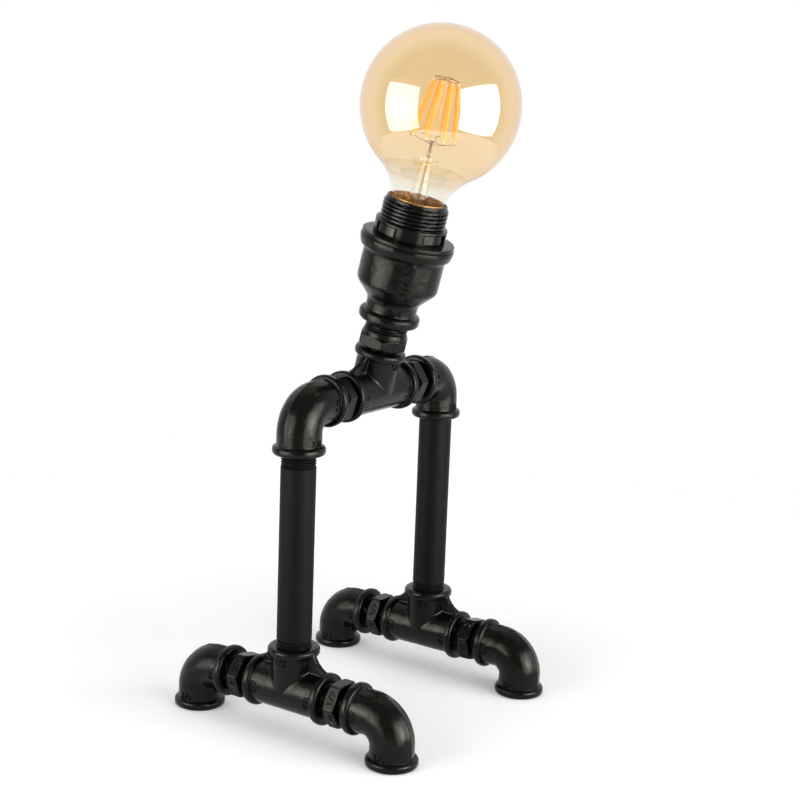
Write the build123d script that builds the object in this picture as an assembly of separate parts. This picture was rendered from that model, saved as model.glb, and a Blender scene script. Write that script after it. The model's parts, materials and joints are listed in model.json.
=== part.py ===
from build123d import *
from math import atan2, cos, degrees, hypot, radians, sin, sqrt, tan
import os

# Industrial pipe table lamp: malleable iron pipe fittings carry a bare globe bulb.
# Millimetres, +Z up. The origin is on the table plane, in the middle of the four feet.
# X runs along the crossbar, Y along the two base legs, and the head leans towards -Y.

# ---- half-inch fittings: elbows, tees, nipples and pipes ----------------------
thread_dia = 20.96            # crest diameter of the half-inch pipe thread
thread_play = 0.05            # radial play between a male thread and its socket
socket_depth = 17.0           # threaded depth of a socket, from its face
passage_dia = 16.0            # waterway behind the sockets
centre_to_face = 28.0         # elbow or base tee, from the axis to a socket face
fitting_dia = 27.0            # plain body of an elbow or tee
inside_bend = 2.1             # radius left at the inner side of an elbow
bead_dia = 31.8               # reinforcing bead at each socket mouth
bead_width = 5.4
bead_round = 2.2              # rounding of a bead's two edges
bead_round_share = 0.45       # most that the rounding may take of a bead's width
mouth_chamfer = 0.5
gusset_thick = 3.6            # web in the corners of a tee
gusset_rise = 2.4             # web above the body beside the beads
gusset_hollow = 1.5           # dip of the web's edge half way along
stub_thick = 3.0              # cast stub inside the bend of an elbow
stub_reach = 2.7
stub_height = 4.8

nipple_length = 44.0
nipple_bore = 15.0
hex_flats = 26.0
hex_width = 8.0
hex_crown = 30.0              # turned-down angle of the hexagon's corners
base_engagement = 13.1        # thread hidden in each socket, base nipples and pipes
left_engagement = 15.7        # crossbar nipple on the left, screwed deeper
right_engagement = 13.8
left_hex_turns = (10.0, 0.0)  # clock angles of the base hexagons, rear and front
right_hex_turns = (0.0, 12.0)
crossbar_hex_turns = (18.0, 24.0)

pipe_dia = 21.3
pipe_bore = 16.1
pipe_length = 144.4
pipe_thread_top = (7.4, 0.6)  # thread left bare below the top elbow, left and right
pipe_thread_foot = 4.4        # thread left bare above the base tee
thread_end_chamfer = 1.2

top_tee_half_run = 30.8       # crossbar tee, from its branch axis to a run face

# ---- head: reducing nipple, reducing socket and cover disc --------------------
lean = 13.7                   # rest angle of the head from the vertical, towards -Y
head_gap = 18.0               # from the tee branch to the reducer, along the head
large_thread_dia = 26.44      # three-quarter thread
large_engagement = 12.6
head_hex_flats = 28.6
head_hex_width = 6.6
head_hex_lift = 2.5           # bare half-inch thread below the hexagon
head_hex_turn = 31.4
shoulder_dia = 28.0
shoulder_height = 3.9
large_nipple_bore = 19.6

reducer_length = 51.8
reducer_neck_dia = 31.5
reducer_neck_height = 13.7    # lower face to the start of the cone
reducer_cone_height = 10.2
reducer_body_dia = 50.0
small_bead_dia = 37.5
small_bead_width = 6.6
large_bead_dia = 57.3
large_bead_width = 7.6
small_socket_depth = 15.0
shoulder_hole_dia = 20.0      # hole left between the two sockets
seat_thick = 3.0              # wall that the clamp washer bears on
funnel_height = 10.0          # from the hole out to the large socket
panel_width = 8.6             # flat panel cast along the body
panel_rise = 0.7
panel_length = 21.0
panel_turn = 218.0            # round the head, from +X

disc_dia = 56.4
disc_thick = 2.6
disc_play = 0.2               # radial play of the disc round the lampholder

# ---- lampholder ---------------------------------------------------------------
holder_drop = 30.4            # lampholder below the disc's top face
holder_neck_dia = 17.0
holder_neck_height = 6.0
holder_dome_height = 8.0
holder_body_dia = 37.8
holder_room = 2.055           # radial room for the lampholder in the reducer's upper bore
holder_wall = 2.0
ledge_width = 1.5             # shelf inside the holder that the insert lies on
collar_height = 8.7
sleeve_dia = 39.8             # crest of the shade-ring thread
collar_ledge = 2.05           # collar proud of the thread's crest
sleeve_bore = 34.0
sleeve_height = 14.2          # thread above the collar
sleeve_sink = 7.2             # skirt of the sleeve inside the collar
sleeve_play = 0.06
rim_chamfer = 1.3
window_count = 4
window_turn = -3.0
window_width = 12.6
window_height = 6.4
window_sill = 1.5             # collar left below a window
latch_rise = 1.3
latch_play = 0.5
entry_thread_dia = 10.0
entry_tube_bore = 7.6
entry_tube_length = 25.6
entry_tube_chamfer = 0.5
entry_seat = 8.0              # thread of the entry tube inside the holder neck
insert_drop = 2.7             # insert above the dome's edge
insert_thick = 2.7
insert_play = 0.25
terminal_width = 7.0
terminal_depth = 8.0
terminal_height = 4.6
terminal_offset = 8.0
terminal_screw_dia = 3.4
terminal_screw_length = 5.4
terminal_slot = 0.7
shell_bore = 26.2
shell_sheet = 0.35
shell_height = 18.0
shell_lip = 2.5               # inward foot of the screw shell
contact_width = 6.0
contact_foot = 7.5            # reach of the centre contact's foot from the axis
contact_sheet = 0.5
contact_nose = 2.5            # half width of the flat under the bulb's tip

clamp_washer_dia = 23.6
clamp_washer_thick = 1.5
earth_tag_dia = 17.0
earth_tag_thick = 0.8
earth_tag_width = 4.0
earth_tag_reach = 11.0
clamp_nut_flats = 14.0
clamp_nut_thick = 4.0

# ---- wiring -------------------------------------------------------------------
lead_dia = 6.0
core_dia = 2.2
core_pitch = 1.5              # cores off the middle of the lead
core_bend = 2.4
core_slant = 30.0             # live and neutral cores below the lead's middle line
sheath_strip = 9.0            # cores bared below the entry tube
earth_core_offset = 8.4       # earth core beside the clamp nut
earth_core_rise = 8.0         # height over which the earth core moves outwards
bush_dia = 10.0               # rubber bush in the wall of the right base tee
bush_flange_dia = 15.0
bush_flange_reach = 2.6
bush_play = 0.05
tee_lead_bend = 8.4
elbow_lead_bend = 22.0
head_lead_bend = 12.0
lead_split = 12.5             # along the crossbar, from the head axis
lead_split_gap = 0.3

# ---- globe bulb ---------------------------------------------------------------
globe_dia = 95.2
globe_rise = 57.2             # centre of the globe above the lampholder rim
glass_thick = 0.9
glass_mark = 20.0             # a point of the sphere, as an angle above its middle plane
neck_dia = 30.0               # narrowest glass, inside the cap
neck_start = 66.0             # where the neck turns straight, below the globe's centre
neck_end = 68.2
skirt_dia = 32.6
skirt_below_rim = 1.2
skirt_height = 9.0
skirt_flare = 4.5
cap_sheet = 0.3
cap_play = 0.05
cap_length = 31.4             # skirt edge to the tip
cement_height = 2.4
tip_dia = 9.4
tip_thick = 1.2
tip_gap = 0.1
vitrite_cone = 2.6
vitrite_height = 4.6
stem_base_dia = 12.0
stem_top_dia = 8.4
stem_wall = 0.9
stem_flare_height = 9.0
stem_rise = 29.7              # top of the stem above the rim
stem_tip_height = 7.0
rod_dia = 2.2
filament_count = 8
filament_turn = 196.0
filament_dia = 2.0
ring_low_dia = 27.4           # wire rings that the filaments are welded to
ring_high_dia = 14.6
ring_low_rise = 37.2          # above the rim
ring_high_rise = 72.7
wire_dia = 0.7
wire_play = 0.1
lead_wire_offset = 1.1
lead_wire_turn = 211.0
driver_play = 0.4
board_thick = 1.2
board_height = 13.0
capacitor_dia = 8.0
capacitor_height = 9.0

# ---- places that follow from the sizes ----------------------------------------
thread_r = thread_dia / 2
socket_r = thread_r + thread_play
passage_r = passage_dia / 2
fitting_r = fitting_dia / 2
collar_dia = sleeve_dia + 2 * collar_ledge
bend_radius = fitting_r + inside_bend
base_gap = nipple_length - 2 * base_engagement
left_gap = nipple_length - 2 * left_engagement
right_gap = nipple_length - 2 * right_engagement
leg_spread = 4 * centre_to_face + 2 * base_gap
pipe_spread = 2 * centre_to_face + 2 * top_tee_half_run + left_gap + right_gap
pipe_x = pipe_spread / 2
foot_y = leg_spread / 2
head_x = -pipe_x + centre_to_face + left_gap + top_tee_half_run
base_z = centre_to_face
pipe_low = base_z + centre_to_face - base_engagement
crossbar_z = pipe_low + pipe_length - base_engagement + centre_to_face

# heights along the head axis, from the crossbar axis
reducer_low = centre_to_face + head_gap
reducer_high = reducer_low + reducer_length
seat_low = reducer_low + small_socket_depth
disc_top = reducer_high + disc_thick
collar_top = disc_top + collar_height
rim = collar_top + sleeve_height
holder_low = disc_top - holder_drop
neck_top = holder_low + holder_neck_height
dome_top = neck_top + holder_dome_height
insert_low = dome_top + insert_drop
insert_high = insert_low + insert_thick
nut_high = seat_low - clamp_washer_thick - earth_tag_thick
nut_low = nut_high - clamp_nut_thick
entry_high = holder_low + entry_seat
entry_low = entry_high - entry_tube_length
sheath_end = entry_low - sheath_strip
globe_r = globe_dia / 2
globe_s = rim + globe_rise
skirt_top = rim - skirt_below_rim
skirt_low = skirt_top - skirt_height
tip_low = skirt_top - cap_length
vitrite_low = tip_low + tip_thick
vitrite_high = vitrite_low + vitrite_height
cap_r = shell_bore / 2 - cap_play
cap_inner_r = cap_r - cap_sheet
contact_top = tip_low - tip_gap
glass_low = globe_s - neck_end
stem_top = rim + stem_rise
ring_low = rim + ring_low_rise
ring_high = rim + ring_high_rise
board_top = vitrite_high + board_height

head_place = Plane(
    origin=(head_x, 0, crossbar_z),
    x_dir=(1, 0, 0),
    z_dir=(0, -sin(radians(lean)), cos(radians(lean))),
).location


# ---- shapes on the Z axis -----------------------------------------------------
def rod(radius, low, high):
    return Pos(0, 0, low) * Cylinder(
        radius, high - low, align=(Align.CENTER, Align.CENTER, Align.MIN)
    )


def ring(outer, inner, low, high):
    return rod(outer, low, high) - rod(inner, low, high)


def turned(points):
    # a closed outline of (radius, height) points, turned about the Z axis
    outline = Polyline(*points, close=True)
    return revolve(make_face(Plane.XZ * outline), Axis.Z)


def block(x, y, z, place=(0, 0, 0), x_align=Align.CENTER):
    return Pos(*place) * Box(x, y, z, align=(x_align, Align.CENTER, Align.MIN))


def hexagon(flats, low, high, turn=0.0):
    # a hexagon prism with its corners turned down to a cone
    half = flats / 2
    corner = flats / sqrt(3)
    rise = (corner - half) * tan(radians(hex_crown))
    prism = extrude(Pos(0, 0, low) * RegularPolygon(corner, 6, rotation=turn), high - low)
    crown = turned([
        (0, low), (half, low), (corner, low + rise),
        (corner, high - rise), (half, high), (0, high),
    ])
    return prism & crown


def threaded_rod(radius, low, high, chamfer):
    return turned([
        (0, low), (radius - chamfer, low), (radius, low + chamfer),
        (radius, high - chamfer), (radius - chamfer, high), (0, high),
    ])


def bead(radius, width, face, edge_round):
    # a rounded band that ends level with the socket face
    band = rod(radius, face - width, face)
    edge_round = min(edge_round, bead_round_share * width)
    return fillet(band.edges().filter_by(GeomType.CIRCLE), edge_round)


def socket(face, depth, radius):
    # threaded bore down from a face, with a chamfered mouth
    mouth = face - mouth_chamfer
    return turned([
        (0, face - depth), (radius, face - depth), (radius, mouth),
        (radius + mouth_chamfer, face), (0, face),
    ])


def wire(points, diameter, bends=None):
    # a round wire or lead: straight runs joined by tangent arcs
    if bends:
        route = FilletPolyline(*points, radius=bends)
    else:
        route = Line(*points)
    section = Plane(origin=route @ 0, z_dir=route % 0) * Circle(diameter / 2)
    return sweep(section, path=route)


def around(turn):
    return Rot(0, 0, turn)


toward_x = Rot(0, 90, 0)
toward_minus_x = Rot(0, -90, 0)
toward_y = Rot(-90, 0, 0)
toward_minus_z = Rot(180, 0, 0)


# ---- pipe fittings ------------------------------------------------------------
def elbow():
    # sockets face +X and -Z, and their axes cross at the origin
    corners = [(0, 0, -centre_to_face), (0, 0, 0), (centre_to_face, 0, 0)]
    body = wire(corners, fitting_dia, bend_radius)
    inner = wire(corners, passage_dia, bend_radius)
    for port in (toward_x, toward_minus_z):
        body += port * bead(bead_dia / 2, bead_width, centre_to_face, bead_round)
        inner += port * socket(centre_to_face, socket_depth, socket_r)
    throat = (bend_radius * (sqrt(2) - 1) + fitting_r) / sqrt(2)
    stub = Pos(throat, 0, -throat) * Rot(0, 45, 0) * Box(
        2 * stub_reach, stub_thick, stub_height
    )
    return body + stub - inner


def gusset(run_half):
    # web between the branch (+Z) and one arm of the run (+X), with a hollow outer edge
    arm = run_half - bead_width / 2
    rise = centre_to_face - bead_width / 2
    ledge = fitting_r + gusset_rise
    dip = gusset_hollow / sqrt(2)
    middle = ((ledge + arm) / 2 - dip, (ledge + rise) / 2 - dip)
    edge = ThreePointArc((ledge, rise), middle, (arm, ledge))
    sides = Polyline(
        (arm, ledge), (arm, passage_r), (passage_r, passage_r), (passage_r, rise), (ledge, rise),
    )
    return extrude(Plane.XZ * make_face(edge + sides), gusset_thick / 2, both=True)


def tee(run_half):
    # the run lies along X and the branch points to +Z
    body = toward_x * rod(fitting_r, -run_half, run_half) + rod(fitting_r, 0, centre_to_face)
    inner = toward_x * rod(passage_r, -run_half, run_half) + rod(passage_r, 0, centre_to_face)
    ports = ((toward_x, run_half), (toward_minus_x, run_half), (Rot(0, 0, 0), centre_to_face))
    for port, face in ports:
        body += port * bead(bead_dia / 2, bead_width, face, bead_round)
        inner += port * socket(face, socket_depth, socket_r)
    web = gusset(run_half)
    return body + web + around(180) * web - inner


def inlet_tee():
    # base tee with a drilled wall for the lead's bush, opposite +Y of its own frame
    return tee(centre_to_face) - toward_y * rod(bush_dia / 2, 0, fitting_dia)


def hex_nipple():
    half = nipple_length / 2
    blank = threaded_rod(thread_r, -half, half, thread_end_chamfer)
    blank += hexagon(hex_flats, -hex_width / 2, hex_width / 2)
    return blank - rod(nipple_bore / 2, -half, half)


def upright_pipe(bare_top):
    # plain pipe between two thread ends, from its lower end at zero
    low = base_engagement + pipe_thread_foot
    high = pipe_length - base_engagement - bare_top
    body = threaded_rod(thread_r, 0, pipe_length, thread_end_chamfer)
    body += rod(pipe_dia / 2, low, high)
    return body - rod(pipe_bore / 2, 0, pipe_length)


# ---- head fittings ------------------------------------------------------------
def head_nipple():
    low = centre_to_face - base_engagement
    hex_low = centre_to_face + head_hex_lift
    hex_high = hex_low + head_hex_width
    high = reducer_low + large_engagement
    large_r = large_thread_dia / 2
    blank = threaded_rod(thread_r, low, hex_high, thread_end_chamfer)
    blank += hexagon(head_hex_flats, hex_low, hex_high, head_hex_turn)
    blank += rod(shoulder_dia / 2, hex_high, hex_high + shoulder_height)
    blank += turned([
        (0, hex_high), (large_r, hex_high), (large_r, high - thread_end_chamfer),
        (large_r - thread_end_chamfer, high), (0, high),
    ])
    return blank - rod(nipple_bore / 2, low, hex_high) - rod(large_nipple_bore / 2, hex_high, high)


def head_reducer():
    neck_r = reducer_neck_dia / 2
    body_r = reducer_body_dia / 2
    cone_low = reducer_low + reducer_neck_height
    cone_high = cone_low + reducer_cone_height
    body = turned([
        (0, reducer_low), (neck_r, reducer_low), (neck_r, cone_low), (body_r, cone_high),
        (body_r, reducer_high), (0, reducer_high),
    ])
    small_bead = bead(small_bead_dia / 2, small_bead_width, 0, bead_round)
    body += Pos(0, 0, reducer_low + small_bead_width) * small_bead
    body += bead(large_bead_dia / 2, large_bead_width, reducer_high, bead_round)
    panel = block(body_r + panel_rise, panel_width, panel_length, (0, 0, cone_high), Align.MIN)
    body += around(panel_turn) * panel
    small_r = large_thread_dia / 2 + thread_play
    hole_r = shoulder_hole_dia / 2
    hole_top = seat_low + seat_thick
    rim_r = holder_body_dia / 2 + holder_room
    return body - turned([
        (0, reducer_low), (small_r + mouth_chamfer, reducer_low), (small_r, reducer_low + mouth_chamfer),
        (small_r, seat_low), (hole_r, seat_low), (hole_r, hole_top),
        (rim_r, hole_top + funnel_height), (rim_r, reducer_high), (0, reducer_high),
    ])


def cover_disc():
    return ring(disc_dia / 2, holder_body_dia / 2 + disc_play, reducer_high, disc_top)


# ---- lampholder ---------------------------------------------------------------
def holder_base():
    neck_r = holder_neck_dia / 2
    body_r = holder_body_dia / 2
    inner_r = body_r - holder_wall
    ledge_r = inner_r - ledge_width
    sleeve_r = sleeve_dia / 2 + sleeve_play
    sleeve_seat = collar_top - sleeve_sink
    floor = neck_top + holder_wall
    shell = turned([
        (0, holder_low), (neck_r, holder_low), (neck_r, neck_top), (body_r, dome_top),
        (body_r, disc_top), (collar_dia / 2, disc_top), (collar_dia / 2, collar_top), (0, collar_top),
    ])
    shell -= turned([
        (0, floor), (neck_r - holder_wall, floor), (ledge_r, dome_top), (ledge_r, insert_low),
        (inner_r, insert_low), (inner_r, sleeve_seat), (sleeve_r, sleeve_seat),
        (sleeve_r, collar_top), (0, collar_top),
    ])
    shell -= rod(entry_thread_dia / 2 + thread_play, holder_low, floor)
    window = block(
        collar_dia, window_width, window_height,
        (sleeve_r - latch_rise, 0, disc_top + window_sill), Align.MIN,
    )
    for n in range(window_count):
        shell -= around(window_turn + 360 * n / window_count) * window
    return shell


def holder_sleeve():
    outer_r = sleeve_dia / 2
    inner_r = sleeve_bore / 2
    low = collar_top - sleeve_sink
    sleeve = turned([
        (inner_r, low), (outer_r, low), (outer_r, rim - rim_chamfer),
        (outer_r - rim_chamfer, rim), (inner_r, rim),
    ])
    latch = block(
        (outer_r - inner_r) / 2 + latch_rise, window_width - 2 * latch_play,
        window_height - 2 * latch_play,
        ((outer_r + inner_r) / 2, 0, disc_top + window_sill + latch_play), Align.MIN,
    )
    for n in range(window_count):
        sleeve += around(window_turn + 360 * n / window_count) * latch
    return sleeve


def holder_insert():
    # insulating plate with two terminal blocks under it
    plate = rod(holder_body_dia / 2 - holder_wall - insert_play, insert_low, insert_high)
    for side in (1, -1):
        plate += block(
            terminal_width, terminal_depth, terminal_height,
            (side * terminal_offset, 0, insert_low - terminal_height),
        )
        plate -= terminal_place(side) * rod(terminal_screw_dia / 2, 0, terminal_screw_length)
    return plate


def terminal_place(side):
    # a screw enters each block from its front face, half way up
    height = insert_low - terminal_height / 2
    return Pos(side * terminal_offset, -terminal_depth / 2, height) * toward_y


def terminal_screws():
    radius = terminal_screw_dia / 2 - thread_play
    screw = rod(radius, 0, terminal_screw_length)
    screw -= block(2 * radius, terminal_slot, terminal_slot)
    return [terminal_place(side) * screw for side in (1, -1)]


def screw_shell():
    inner = shell_bore / 2
    outer = inner + shell_sheet
    wall = ring(outer, inner, insert_high, insert_high + shell_height)
    return wall + ring(outer, inner - shell_lip, insert_high, insert_high + shell_sheet)


def centre_contact():
    # a sprung strip: its foot lies on the insert and its nose is bent up to the bulb's tip
    half = contact_foot / 2
    strip = Polyline(
        (-contact_foot, insert_high), (-half, insert_high), (-contact_nose, contact_top - contact_sheet),
        (contact_nose, contact_top - contact_sheet), (contact_nose, contact_top),
        (-contact_nose, contact_top), (-half, insert_high + contact_sheet),
        (-contact_foot, insert_high + contact_sheet), close=True,
    )
    return extrude(Plane.XZ * make_face(strip), contact_width / 2, both=True)


def neutral_contact():
    # a strip that stands on the insert against the outside of the screw shell
    near = shell_bore / 2 + shell_sheet
    far = holder_body_dia / 2 - holder_wall - ledge_width
    foot = block(far - near, contact_width, contact_sheet, (near, 0, insert_high), Align.MIN)
    return foot + block(contact_sheet, contact_width, shell_height / 2, (near, 0, insert_high), Align.MIN)


def entry_tube():
    tube = threaded_rod(entry_thread_dia / 2, entry_low, entry_high, entry_tube_chamfer)
    return tube - rod(entry_tube_bore / 2, entry_low, entry_high)


def clamp_washer():
    hole = entry_thread_dia / 2 + thread_play
    return ring(clamp_washer_dia / 2, hole, seat_low - clamp_washer_thick, seat_low)


def earth_tag():
    # ring terminal under the washer, with a solder blade towards the back
    disc = rod(earth_tag_dia / 2, nut_high, nut_high + earth_tag_thick)
    blade = block(earth_tag_reach, earth_tag_width, earth_tag_thick, (0, 0, nut_high), Align.MIN)
    hole = rod(entry_thread_dia / 2 + thread_play, nut_high, nut_high + earth_tag_thick)
    return disc + around(90) * blade - hole


def clamp_nut():
    hole = rod(entry_thread_dia / 2 + thread_play, nut_low, nut_high)
    return hexagon(clamp_nut_flats, nut_low, nut_high) - hole


# ---- wiring -------------------------------------------------------------------
def inlet_bush():
    # rubber bush along +Y: its body fills the drilled wall, its flange is shaped to the tee
    outer = fitting_r + bush_flange_reach
    flange = toward_y * rod(bush_flange_dia / 2, passage_r, outer)
    flange -= toward_x * rod(fitting_r, -fitting_dia, fitting_dia)
    flange -= rod(fitting_r, 0, centre_to_face)
    bush = flange + toward_y * rod(bush_dia / 2, passage_r, outer)
    return bush - toward_y * rod(lead_dia / 2 + bush_play, 0, outer)


def frame_lead():
    end_x = head_x + lead_split + lead_split_gap
    points = [
        (pipe_x + fitting_r + bush_flange_reach, 0, base_z), (pipe_x, 0, base_z),
        (pipe_x, 0, crossbar_z), (end_x, 0, crossbar_z),
    ]
    return wire(points, lead_dia, [tee_lead_bend, elbow_lead_bend])


def head_lead():
    # in the head's frame: along the crossbar, then up the head
    points = [(lead_split, 0, 0), (0, 0, 0), (0, 0, sheath_end)]
    return wire(points, lead_dia, [head_lead_bend])


def supply_core(side):
    # up the entry tube and sideways into its terminal block
    x = core_pitch * cos(radians(core_slant))
    y = -core_pitch * sin(radians(core_slant))
    height = insert_low - terminal_height / 2
    near = terminal_offset - terminal_width / 2
    points = [(side * x, y, sheath_end), (side * x, y, height), (side * near, y, height)]
    return wire(points, core_dia, [core_bend])


def earth_core():
    # out of the lead, past the clamp nut and up to the earth tag
    points = [
        (0, core_pitch, sheath_end), (0, core_pitch, sheath_end + core_bend),
        (0, earth_core_offset, sheath_end + earth_core_rise), (0, earth_core_offset, nut_high),
    ]
    return wire(points, core_dia, [core_bend, core_bend])


# ---- globe bulb ---------------------------------------------------------------
def glass_face(shrink):
    # half section of the globe: a sphere, then a hollow arc tangent to both sphere and neck
    globe = globe_r - shrink
    neck = neck_dia / 2 - shrink
    flare = (neck ** 2 + neck_start ** 2 - globe ** 2) / (2 * (globe - neck))
    centre = (neck + flare, globe_s - neck_start)
    reach = globe / (globe + flare)
    join = (centre[0] * reach, globe_s - neck_start * reach)
    top = (0, globe_s + globe)
    side = (globe * cos(radians(glass_mark)), globe_s + globe * sin(radians(glass_mark)))
    inward = atan2(neck_start, centre[0]) / 2
    hollow = (centre[0] - flare * cos(inward), centre[1] + flare * sin(inward))
    outline = ThreePointArc(top, side, join)
    outline += ThreePointArc(join, hollow, (neck, centre[1]))
    outline += Polyline((neck, centre[1]), (neck, glass_low), (0, glass_low), top)
    return make_face(Plane.XZ * outline)


def bulb_globe():
    outer = revolve(glass_face(0), Axis.Z)
    return outer - revolve(glass_face(glass_thick), Axis.Z)


def bulb_stem():
    # flared tube fused to the neck, drawn in to a closed tip that carries a solid rod
    lip = neck_dia / 2 - glass_thick
    base_r = stem_base_dia / 2
    top_r = stem_top_dia / 2
    flare_top = glass_low + stem_flare_height
    tip = stem_top - stem_tip_height
    tube = turned([
        (lip - stem_wall, glass_low), (lip, glass_low), (base_r, flare_top), (top_r, tip),
        (rod_dia / 2, stem_top), (0, stem_top), (0, tip), (top_r - stem_wall, tip),
        (base_r - stem_wall, flare_top),
    ])
    return tube + rod(rod_dia / 2, tip, ring_high - wire_dia / 2)


def filament_place(n):
    return around(filament_turn + 360 * n / filament_count)


def bulb_filaments():
    # sticks that lean in from the low ring to the high ring
    low_r = ring_low_dia / 2
    high_r = ring_high_dia / 2
    rise = ring_high - ring_low
    slope = degrees(atan2(low_r - high_r, rise))
    length = hypot(low_r - high_r, rise)
    stick = Pos(low_r, 0, ring_low) * Rot(0, -slope, 0) * rod(
        filament_dia / 2, wire_dia, length - wire_dia
    )
    return [filament_place(n) * stick for n in range(filament_count)]


def support_ring(radius, height):
    return Pos(0, 0, height) * Torus(radius, wire_dia / 2)


def ring_wire_high():
    # a ring with cross wires over the rod's end
    wires = support_ring(ring_high_dia / 2, ring_high)
    for n in range(filament_count // 2):
        spoke = toward_x * rod(wire_dia / 2, -ring_high_dia / 2, ring_high_dia / 2)
        wires += filament_place(n) * Pos(0, 0, ring_high) * spoke
    return wires


def ring_wire_low():
    # a ring on arms from a hub round the rod; two wires join the hub to the stem's tip
    wires = support_ring(ring_low_dia / 2, ring_low)
    near = rod_dia / 2 + wire_play
    arm = toward_x * rod(wire_dia / 2, near + wire_dia / 2, ring_low_dia / 2)
    for n in range(0, filament_count, 2):
        wires += filament_place(n) * Pos(0, 0, ring_low) * arm
    wires += ring(near + wire_dia, near, ring_low - wire_dia / 2, ring_low + wire_dia / 2)
    for side in (1, -1):
        post = Pos(side * (near + wire_dia / 2), 0, 0) * rod(wire_dia / 2, stem_top, ring_low)
        wires += around(lead_wire_turn) * post
    return wires


def lead_wires():
    # two wires from the driver up inside the stem to its tip
    place = around(lead_wire_turn)
    high = stem_top - stem_tip_height
    return [
        place * Pos(side * lead_wire_offset, 0, 0) * rod(wire_dia / 2, board_top, high)
        for side in (1, -1)
    ]


def bulb_cap():
    # thin shell: thread diameter below, flared to a skirt round the glass
    skirt_r = skirt_dia / 2
    flare_low = skirt_low - skirt_flare
    low = vitrite_low + vitrite_cone
    return turned([
        (cap_r, low), (cap_r, flare_low), (skirt_r, skirt_low), (skirt_r, skirt_top),
        (skirt_r - cap_sheet, skirt_top), (skirt_r - cap_sheet, skirt_low),
        (cap_inner_r, flare_low), (cap_inner_r, low),
    ])


def bulb_cement():
    inner = neck_dia / 2 + cap_play
    return ring(skirt_dia / 2 - cap_sheet - cap_play, inner, skirt_low, skirt_low + cement_height)


def bulb_insulator():
    # black glass between the tip and the cap shell
    inside = cap_inner_r - cap_play
    cone_top = vitrite_low + vitrite_cone
    return turned([
        (0, vitrite_low), (tip_dia / 2, vitrite_low), (inside, cone_top),
        (inside, vitrite_high), (0, vitrite_high),
    ])


def bulb_tip():
    tip = rod(tip_dia / 2, tip_low, vitrite_low)
    return chamfer(tip.edges().sort_by(Axis.Z)[0], tip_thick / 2)


def bulb_driver():
    # a board on edge across the cap, with its capacitor
    half = cap_inner_r - driver_play
    board = block(2 * half, board_thick, board_height, (0, 0, vitrite_high))
    top = vitrite_high + capacitor_height
    return board + Pos(0, capacitor_dia / 2, 0) * rod(capacitor_dia / 2, vitrite_high, top)


# ---- assembly -----------------------------------------------------------------
nodes = {}
sides = (("left", -1), ("right", 1))
ends = (("rear", 1), ("front", -1))

foot = around(90) * elbow()
top_elbow = elbow()
base_tee = around(90) * tee(centre_to_face)
nipple = hex_nipple()
base_turns = {"left": left_hex_turns, "right": right_hex_turns}

for i, (side, sx) in enumerate(sides):
    x = sx * pipe_x
    for j, (end, sy) in enumerate(ends):
        # the feet's side sockets look back at the tee
        facing = around(180) if sy > 0 else Rot(0, 0, 0)
        nodes[f"foot_elbow_{side}_{end}"] = Pos(x, sy * foot_y, base_z) * facing * foot
        nipple_y = sy * (centre_to_face + base_gap / 2)
        turn = Rot(0, base_turns[side][j], 0)
        nodes[f"base_nipple_{side}_{end}"] = Pos(x, nipple_y, base_z) * turn * toward_y * nipple
    nodes[f"upright_pipe_{side}"] = Pos(x, 0, pipe_low) * upright_pipe(pipe_thread_top[i])
    inward = around(180) if sx > 0 else Rot(0, 0, 0)
    nodes[f"top_elbow_{side}"] = Pos(x, 0, crossbar_z) * inward * top_elbow
    gap = (left_gap, right_gap)[i]
    nipple_x = x - sx * (centre_to_face + gap / 2)
    turn = Rot(crossbar_hex_turns[i], 0, 0)
    nodes[f"crossbar_nipple_{side}"] = Pos(nipple_x, 0, crossbar_z) * turn * toward_x * nipple

nodes["base_tee_left"] = Pos(-pipe_x, 0, base_z) * base_tee
nodes["base_tee_right"] = Pos(pipe_x, 0, base_z) * around(-90) * inlet_tee()
nodes["inlet_bush"] = Pos(pipe_x, 0, base_z) * around(-90) * inlet_bush()
nodes["frame_lead"] = frame_lead()

head = {
    "head_tee": tee(top_tee_half_run),
    "head_nipple": head_nipple(),
    "head_reducer": head_reducer(),
    "cover_disc": cover_disc(),
    "clamp_washer": clamp_washer(),
    "earth_tag": earth_tag(),
    "clamp_nut": clamp_nut(),
    "entry_tube": entry_tube(),
    "holder_base": holder_base(),
    "holder_sleeve": holder_sleeve(),
    "holder_insert": holder_insert(),
    "terminal_screws": Compound(children=terminal_screws()),
    "screw_shell": screw_shell(),
    "centre_contact": centre_contact(),
    "neutral_contact": neutral_contact(),
    "head_lead": head_lead(),
    "live_core": supply_core(-1),
    "neutral_core": supply_core(1),
    "earth_core": earth_core(),
    "bulb_globe": bulb_globe(),
    "bulb_stem": bulb_stem(),
    "bulb_filaments": Compound(children=bulb_filaments()),
    "ring_wire_high": ring_wire_high(),
    "ring_wire_low": ring_wire_low(),
    "lead_wires": Compound(children=lead_wires()),
    "bulb_cap": bulb_cap(),
    "bulb_cement": bulb_cement(),
    "bulb_insulator": bulb_insulator(),
    "bulb_tip": bulb_tip(),
    "bulb_driver": bulb_driver(),
}
for name, shape in head.items():
    nodes[name] = head_place * shape

os.makedirs("parts", exist_ok=True)
for name, shape in nodes.items():
    export_step(shape, f"parts/{name}.step")
print(len(nodes), "nodes")
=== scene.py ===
import json
import math

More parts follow.
